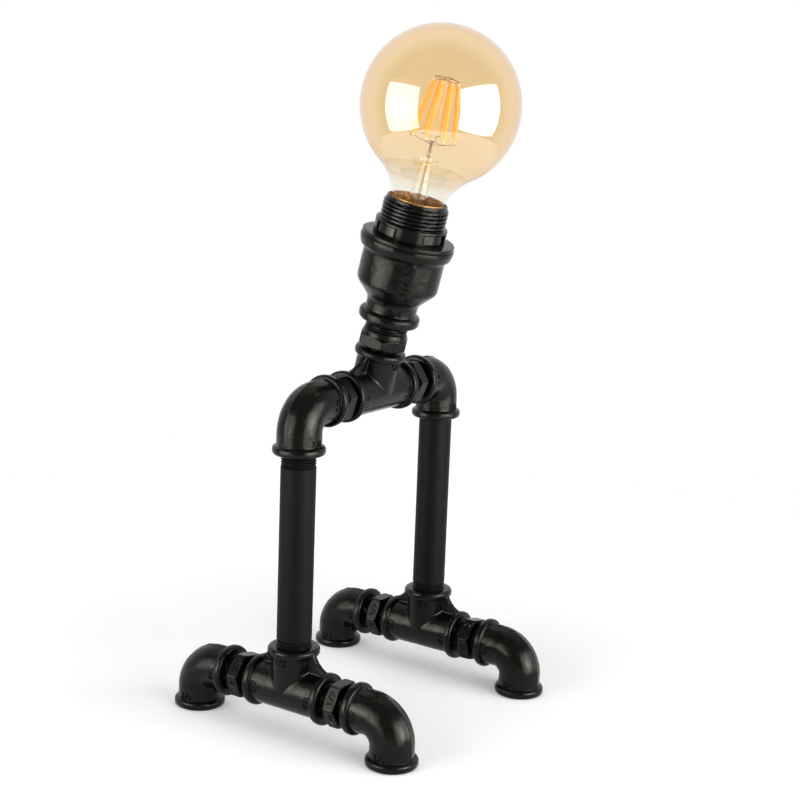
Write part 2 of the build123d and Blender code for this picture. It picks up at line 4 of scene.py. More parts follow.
import bmesh
import bpy
import numpy as np
from mathutils import Matrix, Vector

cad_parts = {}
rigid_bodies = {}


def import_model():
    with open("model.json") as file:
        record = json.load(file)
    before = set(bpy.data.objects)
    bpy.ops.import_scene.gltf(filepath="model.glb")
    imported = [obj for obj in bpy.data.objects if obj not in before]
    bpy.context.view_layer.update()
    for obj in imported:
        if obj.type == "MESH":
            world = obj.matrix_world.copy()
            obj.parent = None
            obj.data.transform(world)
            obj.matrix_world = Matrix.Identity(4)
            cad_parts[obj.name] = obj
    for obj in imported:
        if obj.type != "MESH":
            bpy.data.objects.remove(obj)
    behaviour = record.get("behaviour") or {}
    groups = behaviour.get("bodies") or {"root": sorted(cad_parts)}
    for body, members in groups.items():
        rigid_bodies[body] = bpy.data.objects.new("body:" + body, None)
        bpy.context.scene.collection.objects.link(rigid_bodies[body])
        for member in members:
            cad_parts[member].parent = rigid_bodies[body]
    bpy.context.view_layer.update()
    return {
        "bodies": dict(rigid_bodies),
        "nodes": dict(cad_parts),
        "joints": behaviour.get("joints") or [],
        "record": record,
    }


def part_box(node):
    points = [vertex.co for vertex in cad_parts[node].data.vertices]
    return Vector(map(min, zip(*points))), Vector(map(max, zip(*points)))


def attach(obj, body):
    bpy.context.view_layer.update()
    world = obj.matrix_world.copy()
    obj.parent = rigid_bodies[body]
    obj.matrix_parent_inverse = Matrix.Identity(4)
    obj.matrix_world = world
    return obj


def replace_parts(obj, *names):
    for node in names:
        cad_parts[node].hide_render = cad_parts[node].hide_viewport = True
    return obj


# A table lamp of black threaded pipe fittings with a bare amber globe bulb.
# Shapes are worked out in millimetres about their own axis, then put in place in metres.

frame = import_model()
print("frame loaded:", len(frame["nodes"]), "nodes")

scene = bpy.context.scene
scene.view_settings.view_transform = "Standard"
metre = 0.001  # one millimetre in scene units


# camera: yaw turns it from +Y towards +X, pitch tips it down
cameraSetup = {
    "place": (-0.80504, -0.56398, 0.39748),
    "yaw": 55.984,
    "pitch": 11.568,
    "roll": 2.193,
    "lens": 72.675,
    "sensor": 36.0,
}


# ahead comes from yaw and pitch; right and up are then rolled about it
def makeCamera(setup):
    yaw, pitch, roll = (math.radians(setup[k]) for k in ("yaw", "pitch", "roll"))
    ahead = np.array([math.sin(yaw) * math.cos(pitch), math.cos(yaw) * math.cos(pitch), -math.sin(pitch)])
    level = np.array([math.cos(yaw), -math.sin(yaw), 0.0])
    upright = np.cross(level, ahead)
    right = math.cos(roll) * level + math.sin(roll) * upright
    up = math.cos(roll) * upright - math.sin(roll) * level
    data = bpy.data.cameras.new("camera")
    data.lens = setup["lens"]
    data.sensor_width = setup["sensor"]
    camera = bpy.data.objects.new("camera", data)
    turn = Matrix(np.array([right, up, -ahead]).T.tolist()).to_4x4()
    camera.matrix_world = Matrix.Translation(setup["place"]) @ turn
    scene.collection.objects.link(camera)
    scene.camera = camera
    return camera


camera = makeCamera(cameraSetup)
print("camera placed")


# a node's middle in the frame, in millimetres: half way between its box's two corners
def nodeCentre(node):
    low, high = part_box(node)
    return np.array((low + high) / 2) / metre


joints = {joint["name"]: joint for joint in frame["joints"]}
tiltPlace = np.array(joints["head_tilt"]["pos_m"]) / metre
headAxis = np.array(joints["bulb_lift"]["axis"])
legX = {side: nodeCentre("upright_pipe_" + side)[0] for side in ("left", "right")}
baseHeight = nodeCentre("base_nipple_left_front")[2]
footReach = (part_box("foot_elbow_left_front")[1].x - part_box("foot_elbow_left_front")[0].x) / 2 / metre
footY = {
    "front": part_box("foot_elbow_left_front")[0].y / metre + footReach,
    "rear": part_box("foot_elbow_left_rear")[1].y / metre - footReach,
}


# 4 x 4 matrix whose Z points along zAxis and whose X is xAxis made square to it
def turnedFrame(place, zAxis, xAxis):
    z = np.array(zAxis, float) / np.linalg.norm(zAxis)
    x = np.array(xAxis, float) - np.dot(xAxis, z) * z
    x /= np.linalg.norm(x)
    matrix = np.eye(4)
    matrix[:3, :3] = np.array([x, np.cross(z, x), z]).T
    matrix[:3, 3] = place
    return matrix


headFrame = turnedFrame(tiltPlace, headAxis, (1, 0, 0))


# faces of a grid of points: rows run along the shape and columns go round it; loop joins the last
# row to the first, and otherwise each end is closed by a fan about its middle
def gridShell(points, loop=False, openEnds=False):
    rows, columns = points.shape[:2]
    index = np.arange(rows * columns).reshape(rows, columns)
    beside = np.roll(index, -1, axis=1)
    if loop:
        above, aboveBeside = np.roll(index, -1, axis=0), np.roll(beside, -1, axis=0)
        quads = np.stack([index, beside, aboveBeside, above], -1).reshape(-1, 4)
    else:
        quads = np.stack([index[:-1], beside[:-1], beside[1:], index[1:]], -1).reshape(-1, 4)
    vertices = points.reshape(-1, 3)
    triangles = np.zeros((0, 3), int)
    if not loop and not openEnds:
        middles = np.array([points[0].mean(0), points[-1].mean(0)])
        first, last = len(vertices), len(vertices) + 1
        vertices = np.vstack([vertices, middles])
        triangles = np.vstack([
            np.stack([np.full(columns, first), beside[0], index[0]], -1),
            np.stack([np.full(columns, last), index[-1], beside[-1]], -1),
        ])
    return vertices, quads, triangles


# signed volume: the sum of the tetrahedra from the origin to each face
def shellVolume(vertices, quads, triangles):
    corners = np.vstack([quads[:, [0, 1, 2]], quads[:, [0, 2, 3]], triangles])
    a, b, c = (vertices[corners[:, k]] for k in range(3))
    return np.einsum("ij,ij->", a, np.cross(b, c)) / 6


# the same shell, turned right side out
def outward(shell):
    vertices, quads, triangles = shell
    if shellVolume(vertices, quads, triangles) < 0:
        quads, triangles = quads[:, ::-1], triangles[:, ::-1]
    return vertices, quads, triangles


# one mesh object from several shells, in metres, with its place in its vertices
def makePiece(name, shells, matrix, material, sharpAngle=32.0, weld=False):
    allVertices, allQuads, allTriangles, start = [], [], [], 0
    for vertices, quads, triangles in shells:
        allVertices.append(vertices)
        allQuads.append(quads + start)
        allTriangles.append(triangles + start)
        start += len(vertices)
    vertices = np.vstack(allVertices)
    quads, triangles = np.vstack(allQuads), np.vstack(allTriangles)
    vertices = (vertices @ matrix[:3, :3].T + matrix[:3, 3]) * metre
    mesh = bpy.data.meshes.new(name)
    mesh.vertices.add(len(vertices))
    mesh.vertices.foreach_set("co", vertices.astype(np.float32).ravel())
    mesh.loops.add(quads.size + triangles.size)
    mesh.loops.foreach_set("vertex_index", np.concatenate([quads.ravel(), triangles.ravel()]).astype(np.int32))
    mesh.polygons.add(len(quads) + len(triangles))
    starts = np.concatenate([np.arange(len(quads)) * 4, quads.size + np.arange(len(triangles)) * 3])
    mesh.polygons.foreach_set("loop_start", starts.astype(np.int32))
    mesh.update(calc_edges=True)
    mesh.validate()
    if weld:
        weldMesh(mesh)
    mesh.shade_smooth()
    mesh.set_sharp_from_angle(angle=math.radians(sharpAngle))
    mesh.materials.append(material)
    piece = bpy.data.objects.new(name, mesh)
    scene.collection.objects.link(piece)
    return piece


# merges points that shells share, then turns all faces outwards
def weldMesh(mesh):
    work = bmesh.new()
    work.from_mesh(mesh)
    bmesh.ops.remove_doubles(work, verts=work.verts, dist=2e-6)
    bmesh.ops.recalc_face_normals(work, faces=work.faces)
    work.to_mesh(mesh)
    work.free()


cornerShare = 0.84  # most of a run that one corner's arc may take


# an outline from (along, radius, rounding) corners: straight runs joined by tangent arcs
def roundedProfile(corners, steps=5):
    points = []
    spots = np.array([c[:2] for c in corners], float)
    for i, (along, radius, rounding) in enumerate(corners):
        here = spots[i]
        if rounding <= 0 or i in (0, len(corners) - 1):
            points.append(here)
            continue
        before, after = spots[i - 1] - here, spots[i + 1] - here
        reach = min(np.linalg.norm(before), np.linalg.norm(after))
        before, after = before / np.linalg.norm(before), after / np.linalg.norm(after)
        half = math.acos(np.clip(before @ after, -1, 1)) / 2
        back = min(rounding / math.tan(half), cornerShare * reach)
        size = back * math.tan(half)
        middle = here + (before + after) / np.linalg.norm(before + after) * size / math.sin(half)
        first, last = here + before * back - middle, here + after * back - middle
        start = math.atan2(first[1], first[0])
        sweep = math.atan2(last[1], last[0]) - start
        sweep = (sweep + math.pi) % (2 * math.pi) - math.pi
        turns = start + sweep * np.linspace(0, 1, steps)
        points.extend(middle + size * np.stack([np.cos(turns), np.sin(turns)], -1))
    return np.array(points)


# even angles all round, without the last that would double the first
def roundAngles(count):
    return np.linspace(0, 2 * np.pi, count, endpoint=False)


# a profile of (along, radius) turned about Z; change(along, angle) is added to the radius
def turnedGrid(profile, angles, change=None):
    along = np.repeat(profile[:, :1], len(angles), axis=1)
    radius = np.repeat(profile[:, 1:2], len(angles), axis=1)
    turn = np.repeat(angles[None, :], len(profile), axis=0)
    if change is not None:
        radius = radius + change(along, turn, radius)
    return np.stack([radius * np.cos(turn), radius * np.sin(turn), along], -1)


# 3 t^2 - 2 t^3 between low and high
def smoothStep(value, low, high):
    t = np.clip((value - low) / (high - low), 0, 1)
    return t * t * (3 - 2 * t)


# one between low and high, with soft shoulders of width edge, and nought outside
def plateau(value, low, high, edge):
    return smoothStep(value, low - edge, low) * (1 - smoothStep(value, high, high + edge))


# depth of a right-hand thread below its crest: a triangle wave of along / pitch minus the share of
# a turn, with flat crests and roots
def threadCut(along, angle, pitch, depth, flat=0.12):
    wave = np.abs(2 * ((along / pitch - angle / (2 * np.pi)) % 1) - 1)
    return -depth * smoothStep(wave, flat, 1 - flat)


# sand-cast waviness: each point moves along its direction from the shape's axis by a sum of sines
# of its place
def castSkin(points, amount, grain):
    p = points / grain
    wave = np.sin(p[..., 0] * 1.7 + 2.1 * np.sin(p[..., 1] * 0.9)) * np.sin(p[..., 1] * 2.3 + p[..., 2])
    wave += 0.6 * np.sin(p[..., 2] * 2.9 + 1.3 * np.sin(p[..., 0] * 2.1)) * np.sin(p[..., 0] + p[..., 1] * 1.9)
    return amount * wave


# a box with rounded edges: a unit sphere's point times the rounding, moved out to the inner box's
# corner that lies on the same side
def roundedBlock(size, rounding, rows=14, columns=28):
    half = np.array(size) / 2 - rounding
    tilt = np.linspace(0.02, np.pi - 0.02, rows)[:, None]
    turn = (roundAngles(columns) + np.pi / columns)[None, :]
    ball = np.stack([np.sin(tilt) * np.cos(turn), np.sin(tilt) * np.sin(turn), np.cos(tilt) + 0 * turn], -1)
    return ball * rounding + np.tanh(ball * 9) * half


# the same shell, put in place by a matrix
def moved(shell, matrix):
    vertices, quads, triangles = shell
    return vertices @ matrix[:3, :3].T + matrix[:3, 3], quads, triangles


# a round wire: circles square to a path, kept untwisted by one fixed side direction
def tubeShell(points, radius, sides=10, loop=False):
    path = np.array(points, float)
    if loop:
        ahead = np.roll(path, -1, axis=0) - np.roll(path, 1, axis=0)
    else:
        ahead = np.gradient(path, axis=0)
    ahead /= np.linalg.norm(ahead, axis=1)[:, None]
    helper = np.array([0.31, 0.17, 0.93])
    side = np.cross(ahead, helper)
    side /= np.linalg.norm(side, axis=1)[:, None]
    other = np.cross(ahead, side)
    turn = roundAngles(sides)
    circle = side[:, None] * np.cos(turn)[None, :, None] + other[:, None] * np.sin(turn)[None, :, None]
    return outward(gridShell(path[:, None] + radius * circle, loop=loop))


# sRGB hex to linear RGBA
def linearColour(hexText):
    value = np.array([int(hexText[k:k + 2], 16) for k in (1, 3, 5)]) / 255
    linear = np.where(value <= 0.04045, value / 12.92, ((value + 0.055) / 1.055) ** 2.4)
    return (*linear.tolist(), 1.0)


# settings are the node's attributes; links are the sources and values the constants of its sockets
def addNode(owner, kind, settings=None, links=None, values=None):
    tree = owner.node_tree
    node = tree.nodes.new(kind)
    for key, value in (settings or {}).items():
        setattr(node, key, value)
    for key, value in (values or {}).items():
        node.inputs[key].default_value = value
    for key, source in (links or {}).items():
        tree.links.new(source, node.inputs[key])
    return node


def startMaterial(name):
    material = bpy.data.materials.new(name)
    material.use_nodes = True
    material.node_tree.nodes.clear()
    return material


def finishMaterial(material, shader):
    addNode(material, "ShaderNodeOutputMaterial", links={"Surface": shader})
    return material


white = (1, 1, 1, 1)
colourMix = {"data_type": "RGBA"}  # its colour sockets are 6 and 7
softEdges = {"interpolation_type": "SMOOTHSTEP"}


# two close tints and an uneven sheen follow slow noise, and finer noises stand up as relief; a
# noise is (blob size in mm, detail, roughness), and a relief adds its depth in mm and its strength
def grainedMaterial(name, look):
    m = startMaterial(name)
    place = addNode(m, "ShaderNodeTexCoord").outputs["Object"]
    noises = []
    for size, detail, roughness, *_ in [look["tintNoise"], look["sheenNoise"], *look["relief"]]:
        noise = addNode(m, "ShaderNodeTexNoise", links={"Vector": place},
                        values={"Scale": 1 / (size * metre), "Detail": detail, "Roughness": roughness})
        noises.append(noise.outputs["Fac"])
    spreads = []
    for noise, (low, high) in zip(noises, ((0, 1), look["sheen"])):
        spread = addNode(m, "ShaderNodeMapRange", links={"Value": noise},
                         values={"From Min": 0.3, "From Max": 0.7, "To Min": low, "To Max": high})
        spreads.append(spread.outputs["Result"])
    first, second = (linearColour(tint) for tint in look["tints"])
    tint = addNode(m, "ShaderNodeMix", colourMix, {"Factor": spreads[0]}, {6: first, 7: second})
    normal = {}
    for height, (*_, depth, strength) in zip(noises[2:], look["relief"]):
        bump = addNode(m, "ShaderNodeBump", links={"Height": height, **normal},
                       values={"Strength": strength, "Distance": depth * metre})
        normal = {"Normal": bump.outputs["Normal"]}
    surface = addNode(m, "ShaderNodeBsdfPrincipled", values=look["gloss"],
                      links={"Base Color": tint.outputs[2], "Roughness": spreads[1], **normal})
    return finishMaterial(m, surface.outputs["BSDF"])


warmGlint = linearColour("#fffff4")

# malleable iron, sand cast and sprayed with gloss black paint: bright glints broken by the sand's
# pimples, and slow changes of sheen where the paint lies thicker. Real grains of 0.3 mm would not
# show, so the pimples are 0.8 mm
castingLook = {
    "tints": ("#060605", "#0b0b0a"), "tintNoise": (9.0, 3.0, 0.55),
    "sheen": (0.12, 0.26), "sheenNoise": (2.2, 4.0, 0.55),
    "relief": [(0.8, 4.0, 0.65, 0.13, 0.5), (3.0, 2.0, 0.55, 0.28, 0.6)],
    "gloss": {"IOR": 1.5, "Specular IOR Level": 0.16, "Specular Tint": warmGlint},
}
# turned steel under the same black paint: smooth facets with a faint orange peel
steelLook = {
    "tints": ("#080807", "#0e0e0d"), "tintNoise": (7.0, 3.0, 0.55),
    "sheen": (0.17, 0.28), "sheenNoise": (2.2, 3.0, 0.55),
    "relief": [(1.1, 2.0, 0.55, 0.06, 0.5)],
    "gloss": {"IOR": 1.5, "Specular IOR Level": 0.14, "Specular Tint": warmGlint},
}
# drawn steel pipe, rubbed down and painted matt black: a wide soft sheen, a little uneven
pipeLook = {
    "tints": ("#070706", "#0b0b0a"), "tintNoise": (6.0, 3.0, 0.55),
    "sheen": (0.46, 0.56), "sheenNoise": (3.0, 3.0, 0.55),
    "relief": [(0.9, 3.0, 0.55, 0.05, 0.5)],
    "gloss": {"IOR": 1.5, "Specular IOR Level": 0.08, "Specular Tint": warmGlint},
}
# black thermoplastic from a fine-eroded mould: an even, glossy black; its grain is drawn at 0.5 mm,
# coarser than a mould's, so that it shows
plasticLook = {
    "tints": ("#070707", "#0b0b0b"), "tintNoise": (5.0, 3.0, 0.55),
    "sheen": (0.15, 0.23), "sheenNoise": (1.2, 2.0, 0.55),
    "relief": [(0.5, 2.0, 0.55, 0.02, 0.4)],
    "gloss": {"IOR": 1.49, "Specular IOR Level": 0.19, "Specular Tint": warmGlint},
}


# a small or hidden piece's matter: its sheen varies over a third of the tints' size, and its fine
# grain over a sixth
def plainMatter(name, first, second, size, low, high, metallic=0.0, depth=0.02):
    return grainedMaterial(name, {
        "tints": (first, second), "tintNoise": (size, 3.0, 0.55),
        "sheen": (low, high), "sheenNoise": (size / 3, 3.0, 0.55),
        "relief": [(size / 6, 2.0, 0.55, depth, 0.5)], "gloss": {"Metallic": metallic},
    })


# glass lets light through to what it shades: shadow rays see a tinted pane in its place
def clearShadow(m, surface, tintLink):
    clear = addNode(m, "ShaderNodeBsdfTransparent", links=tintLink).outputs["BSDF"]
    ray = addNode(m, "ShaderNodeLightPath")
    mix = addNode(m, "ShaderNodeMixShader", links={0: ray.outputs["Is Shadow Ray"], 1: surface, 2: clear})
    return finishMaterial(m, mix.outputs["Shader"])


# heights are along the head's axis: the film is sprayed on the globe only, so the neck stays clear
amberGlassLook = {
    "clear": "#f7f5ef", "amber": "#eecb91", "deep": "#c98b3d",
    "film": (129.0, 152.0),     # its colour comes in between these heights
    "mirror": (141.0, 161.0),   # and its glints between these
    # the rim keys give where, by slant, a white emission starts and how much is mixed in: a painted reflection of the
    # white room
    "deepStart": 0.35, "paintedRimGlowStart": 0.94, "paintedRimGlowShare": 0.30,
    "glassIndex": 1.16,         # a thin blown wall hardly bends the light that crosses it
    "filmIndex": 2.0,
}


# soda glass blown in a mould, with a sprayed amber film: tinted light and sharp, bright glints.
# The tint deepens to the rim, where light crosses more film; a white emission there is a painted reflection
def amberGlass(look):
    m = startMaterial("blown glass with amber film")
    place = addNode(m, "ShaderNodeTexCoord").outputs["Object"]
    height = addNode(m, "ShaderNodeVectorMath", {"operation": "DOT_PRODUCT"}, {0: place}, {1: headAxis})
    along = height.outputs["Value"]
    slant = addNode(m, "ShaderNodeLayerWeight", values={"Blend": 0.5}).outputs["Facing"]
    start = float(tiltPlace @ headAxis)
    ramps = []
    for source, low, high, most in (
        (along, (start + look["film"][0]) * metre, (start + look["film"][1]) * metre, 1.0),
        (along, (start + look["mirror"][0]) * metre, (start + look["mirror"][1]) * metre, 1.0),
        (slant, look["deepStart"], 1.0, 1.0),
        (slant, look["paintedRimGlowStart"], 1.0, look["paintedRimGlowShare"]),
    ):
        ramp = addNode(m, "ShaderNodeMapRange", softEdges, {"Value": source},
                       {"From Min": low, "From Max": high, "To Max": most})
        ramps.append(ramp.outputs["Result"])
    filmShare, mirrorShare, deepShare, paintedRimGlowShare = ramps
    amber, deep, clear = (linearColour(look[key]) for key in ("amber", "deep", "clear"))
    film = addNode(m, "ShaderNodeMix", colourMix, {"Factor": deepShare}, {6: amber, 7: deep}).outputs[2]
    tint = addNode(m, "ShaderNodeMix", colourMix, {"Factor": filmShare, 7: film}, {6: clear}).outputs[2]
    # the attribute is one on the outer face, which alone has the film, and nought on the inner one
    filmed = addNode(m, "ShaderNodeAttribute", {"attribute_name": "film"}).outputs["Fac"]
    wall = addNode(m, "ShaderNodeMix", colourMix, {"Factor": filmed, 7: tint}, {6: white}).outputs[2]
    glass = {"Roughness": 0.0, "IOR": look["glassIndex"], "Transmission Weight": 1.0}
    mirrored = addNode(m, "ShaderNodeBsdfPrincipled", links={"Base Color": tint}, values={
        **glass, "Coat Weight": 1.0, "Coat Roughness": 0.0, "Coat IOR": look["filmIndex"]})
    bare = addNode(m, "ShaderNodeBsdfPrincipled", links={"Base Color": wall},
                   values={**glass, "Specular IOR Level": 0.1})
    within = addNode(m, "ShaderNodeNewGeometry").outputs["Backfacing"]
    facing = addNode(m, "ShaderNodeMath", {"operation": "SUBTRACT"}, {0: filmed, 1: within}).outputs[0]
    shine = addNode(m, "ShaderNodeMath", {"operation": "MULTIPLY", "use_clamp": True}, {0: facing, 1: mirrorShare})
    surface = addNode(m, "ShaderNodeMixShader",
                      links={0: shine.outputs[0], 1: bare.outputs["BSDF"], 2: mirrored.outputs["BSDF"]})
    # painted reflection: a white emission mixed in at the outer rim, in place of the white room seen there
    pale = addNode(m, "ShaderNodeEmission", values={"Color": white, "Strength": 1.0})
    share = addNode(m, "ShaderNodeMath", {"operation": "MULTIPLY"}, {0: paintedRimGlowShare, 1: filmed})
    paintedRimGlowMix = addNode(m, "ShaderNodeMixShader", links={0: share.outputs[0], 1: surface.outputs[0], 2: pale.outputs[0]})
    return clearShadow(m, paintedRimGlowMix.outputs[0], {"Color": tint})


# lead glass, drawn as tube and pressed to a stem: colourless, with sharp glints
def clearGlass():
    m = startMaterial("drawn clear glass")
    surface = addNode(m, "ShaderNodeBsdfPrincipled", values={
        "Base Color": linearColour("#fdfdfb"), "Roughness": 0.0, "IOR": 1.4, "Transmission Weight": 1.0})
    return clearShadow(m, surface.outputs["BSDF"], {})


# silicone full of phosphor, dispensed over a row of diodes: an even orange-yellow that seems to glow
phosphorPaintedGlowLook = {
    "tints": ("#d39c3c", "#deaa4c"), "tintNoise": (2.0, 3.0, 0.55),
    "sheen": (0.55, 0.55), "sheenNoise": (2.0, 3.0, 0.55), "relief": [],
    # a painted glow: a faint emission, though the bulb is unlit
    "gloss": {"Emission Strength": 0.12, "Emission Color": linearColour("#ffb64e")},
}

casting = grainedMaterial("black paint on sand-cast iron", castingLook)
steel = grainedMaterial("black paint on turned steel", steelLook)
pipePaint = grainedMaterial("matt black paint on drawn pipe", pipeLook)
plastic = grainedMaterial("moulded black thermoplastic", plasticLook)
amber = amberGlass(amberGlassLook)
clearDrawn = clearGlass()
phosphor = grainedMaterial("phosphor-filled silicone", phosphorPaintedGlowLook)
# fired clay and baked cement: pale and dull
ceramic = plainMatter("pressed steatite", "#d9d5cb", "#e8e4da", 3.0, 0.55, 0.7)
cement = plainMatter("baked basing cement", "#a89878", "#b8a98a", 1.2, 0.8, 0.9, depth=0.1)
# plated and pressed metals: bright, with a soft sheen
nickel = plainMatter("nickel-plated pressed steel", "#b9b4a8", "#cbc7bd", 4.0, 0.22, 0.35, 1.0)
brass = plainMatter("pressed brass", "#b98d45", "#c9a057", 3.0, 0.25, 0.4, 1.0)
zinc = plainMatter("zinc-plated steel", "#b4b6ba", "#c6c8cb", 3.0, 0.3, 0.45, 1.0)
solder = plainMatter("tinned contact", "#c2c2be", "#d2d2ce", 1.5, 0.3, 0.45, 1.0)
# brass rolled thin and lacquered against tarnish: warm, between satin and gloss
capMetal = plainMatter("lacquered brass cap", "#8f6234", "#cb9960", 5.0, 0.32, 0.5, 0.5, depth=0.01)
# wire browned by the heat of the glass it was sealed in: little shine
darkWire = plainMatter("drawn and oxidised wire", "#5a3c18", "#74501f", 1.0, 0.5, 0.65, 0.15)
# extruded and moulded soft plastic and rubber: even and dull
sheath = plainMatter("extruded black sheath", "#151515", "#1d1d1d", 3.0, 0.45, 0.6)
brownCore = plainMatter("extruded brown insulation", "#5c3826", "#6b442f", 2.0, 0.4, 0.5)
blueCore = plainMatter("extruded blue insulation", "#2456a0", "#2e66b4", 2.0, 0.4, 0.5)
earthCore = plainMatter("extruded green and yellow insulation", "#6f9a2c", "#c9c231", 5.0, 0.4, 0.5)
rubber = plainMatter("moulded black rubber", "#141414", "#1c1c1c", 1.5, 0.6, 0.75, depth=0.05)
# black glass melted into the cap: smooth and glossy
darkGlass = plainMatter("fused black glass", "#0d0d0f", "#131316", 3.0, 0.08, 0.15)
# woven glass pressed in resin: an even satin green
board = plainMatter("glass-fibre board", "#2d6a3a", "#367a45", 2.0, 0.5, 0.6)
print("materials made")


# threaded malleable fittings, in millimetres
fitting = {
    "face": 28.0,          # axis to socket face
    "body": 13.5,          # radius of the plain body
    "bend": 15.6,          # centreline radius of an elbow
    "bead": 15.9,
    "beadWidth": 5.4,
    "beadRound": 2.0,
    "beadFoot": 0.35,
    "socket": 10.53,
    "socketDepth": 17.0,
    "passage": 8.0,
    "mouth": 0.5,
    "ridge": 0.4,          # parting line of the two mould halves
    "ridgeWidth": 1.2,
    "skin": 0.05,
    "webThick": 3.6,
    "webRise": 2.4,
    "webDip": 1.06,
    "blend": 2.4,          # fillet between branch and run
    "flash": {"reach": 12.0, "width": 2.4, "lift": 0.25, "rough": 0.4, "grain": 0.75},  # torn parting line
    "lumps": {"rough": 0.32, "grain": 0.9},  # on the webs' edges
    "stub": (5.4, 4.8, 3.0),  # trimmed feeder in an elbow's throat
    "crossbarHalf": 30.8,
}
sideways = np.array([0.0, 1.0, 0.0])  # square to an elbow's plane


# (distance from the face, radius): off the body, over the bead and back down the socket
def portProfile(f):
    w = f["beadWidth"]
    corners = [
        (w + 0.9, f["body"], 0), (w, f["body"], f["beadFoot"]), (w, f["bead"], f["beadRound"]),
        (0, f["bead"], f["beadRound"]), (0, f["socket"] + f["mouth"], 0.15), (f["mouth"], f["socket"], 0.15),
        (f["socketDepth"], f["socket"], 0), (f["socketDepth"], f["passage"], 0),
    ]
    return roundedProfile(corners)


# a circle carried along straight, quarter circle and straight; it swells to the port profiles
# at both ends and returns as the bore
def elbowShells(f):
    face, bend = f["face"], f["bend"]
    straight = face - bend
    length = 2 * straight + bend * np.pi / 2
    port = portProfile(f)
    middle = np.linspace(port[0, 0], length - port[0, 0], 36)[1:-1]
    inner = np.linspace(f["socketDepth"], length - f["socketDepth"], 12)[1:-1]
    last = port * np.array([-1, 1]) + np.array([length, 0])
    along = np.concatenate([port[::-1, 0], middle, last[:, 0], inner[::-1]])
    radius = np.concatenate([
        port[::-1, 1], np.full(len(middle), f["body"]), last[:, 1], np.full(len(inner), f["passage"]),
    ])
    turn = np.clip((along - straight) / bend, 0, np.pi / 2)
    before = np.clip(straight - along, 0, None)
    after = np.clip(along - straight - bend * np.pi / 2, 0, None)
    # the ports face -Z and +X and the bend's middle is at (bend, -bend)
    centre = np.stack([bend - bend * np.cos(turn) + after, 0 * turn, -bend + bend * np.sin(turn) - before], -1)
    outwards = np.stack([-np.cos(turn), 0 * turn, np.sin(turn)], -1)
    angles = roundAngles(112)
    radii = np.repeat(radius[:, None], len(angles), axis=1)
    outside = radius > f["socket"] + 2
    body = plateau(along, f["beadWidth"] + 1.5, length - f["beadWidth"] - 1.5, 1.5) * outside
    fromSpine = np.minimum(angles, 2 * np.pi - angles) * f["body"]
    fromThroat = np.abs(angles - np.pi) * f["body"]
    ridge = f["ridge"] * np.exp(-(fromSpine / f["ridgeWidth"]) ** 2)
    ridge += 0.6 * f["ridge"] * np.exp(-(fromThroat / f["ridgeWidth"]) ** 2)
    radii += body[:, None] * ridge[None, :]
    around = np.cos(angles)[None, :, None] * outwards[:, None] + np.sin(angles)[None, :, None] * sideways
    points = centre[:, None] + radii[..., None] * around
    points += around * (castSkin(points, f["skin"], 3.1) * outside[:, None])[..., None]
    flash, bodyEnd = f["flash"], length - f["beadWidth"]
    nearPort = plateau(along, bodyEnd - flash["reach"], bodyEnd - 0.5, 1.5)[:, None]
    onSpine = np.exp(-(fromSpine / flash["width"]) ** 2)[None, :]
    lift = nearPort * onSpine * (flash["lift"] + castSkin(points, flash["rough"], flash["grain"]))
    points += around * lift[..., None]
    throat = (bend * (math.sqrt(2) - 1) + f["body"]) / math.sqrt(2)
    leaned = turnedFrame((throat, 0, -throat), (1, 0, 1), (1, 0, -1))
    stub = moved(gridShell(roundedBlock((f["stub"][0], f["stub"][2], f["stub"][1]), 0.7)), leaned)
    return [outward(gridShell(points, loop=True)), outward(stub)]


# angles all round, close together where the webs' sides rise from the body
def webAngles():
    quarter = np.radians(np.concatenate([
        np.linspace(0, 5, 4), np.linspace(5.6, 9.2, 10), np.linspace(10, 90, 18),
    ]))
    half = np.concatenate([quarter, np.pi - quarter[-2::-1]])
    return np.concatenate([half, 2 * np.pi - half[-2:0:-1]])


# the lower of two distances, rounded where they cross
def softMinimum(first, second, blend):
    h = np.clip(0.5 + 0.5 * (second - first) / blend, 0, 1)
    return second * (1 - h) + first * h - blend * h * (1 - h)


# distance to a tee: two cylinders and a thin web with a hollow edge, blended together
def teeField(p, halfRun, f):
    x, y, z = np.abs(p[..., 0]), p[..., 1], p[..., 2]
    fromRun = np.hypot(y, z)
    fromBranch = np.where(z > 0, np.hypot(x, y), 1e3)
    slant = np.clip(1 - y * y / (fromRun * fromBranch + 1e-9), 0, 1)
    body = softMinimum(fromRun - f["body"], fromBranch - f["body"], f["blend"] * slant + 1e-3)
    arm, rise = halfRun - f["beadWidth"] / 2, f["face"] - f["beadWidth"] / 2
    ledge = f["body"] + f["webRise"]
    first, last = np.array([ledge, rise]), np.array([arm, ledge])
    middle = (first + last) / 2 - f["webDip"]
    # the circle through the web edge's two ends and its lowest point
    rows = 2 * np.array([last - first, middle - first])
    centre = np.linalg.solve(rows, np.array([last @ last - first @ first, middle @ middle - first @ first]))
    size = np.linalg.norm(first - centre)
    edge = size - np.hypot(x - centre[0], z - centre[1])
    side = np.abs(y) - f["webThick"] / 2
    web = -softMinimum(-edge, -side, 1.0)
    web = np.where((x > centre[0]) | (z > centre[1]) | (z < 0), 50.0, web)
    return softMinimum(body, web, 0.8)


# distance along each ray at which the field turns positive, by halving
def crossing(field, start, direction, low, high):
    low = np.broadcast_to(low, start.shape[:-1]).astype(float)
    high = np.broadcast_to(high, start.shape[:-1]).astype(float)
    for _ in range(26):
        middle = (low + high) / 2
        inside = field(start + direction * middle[..., None]) < 0
        low, high = np.where(inside, middle, low), np.where(inside, high, middle)
    return (low + high) / 2


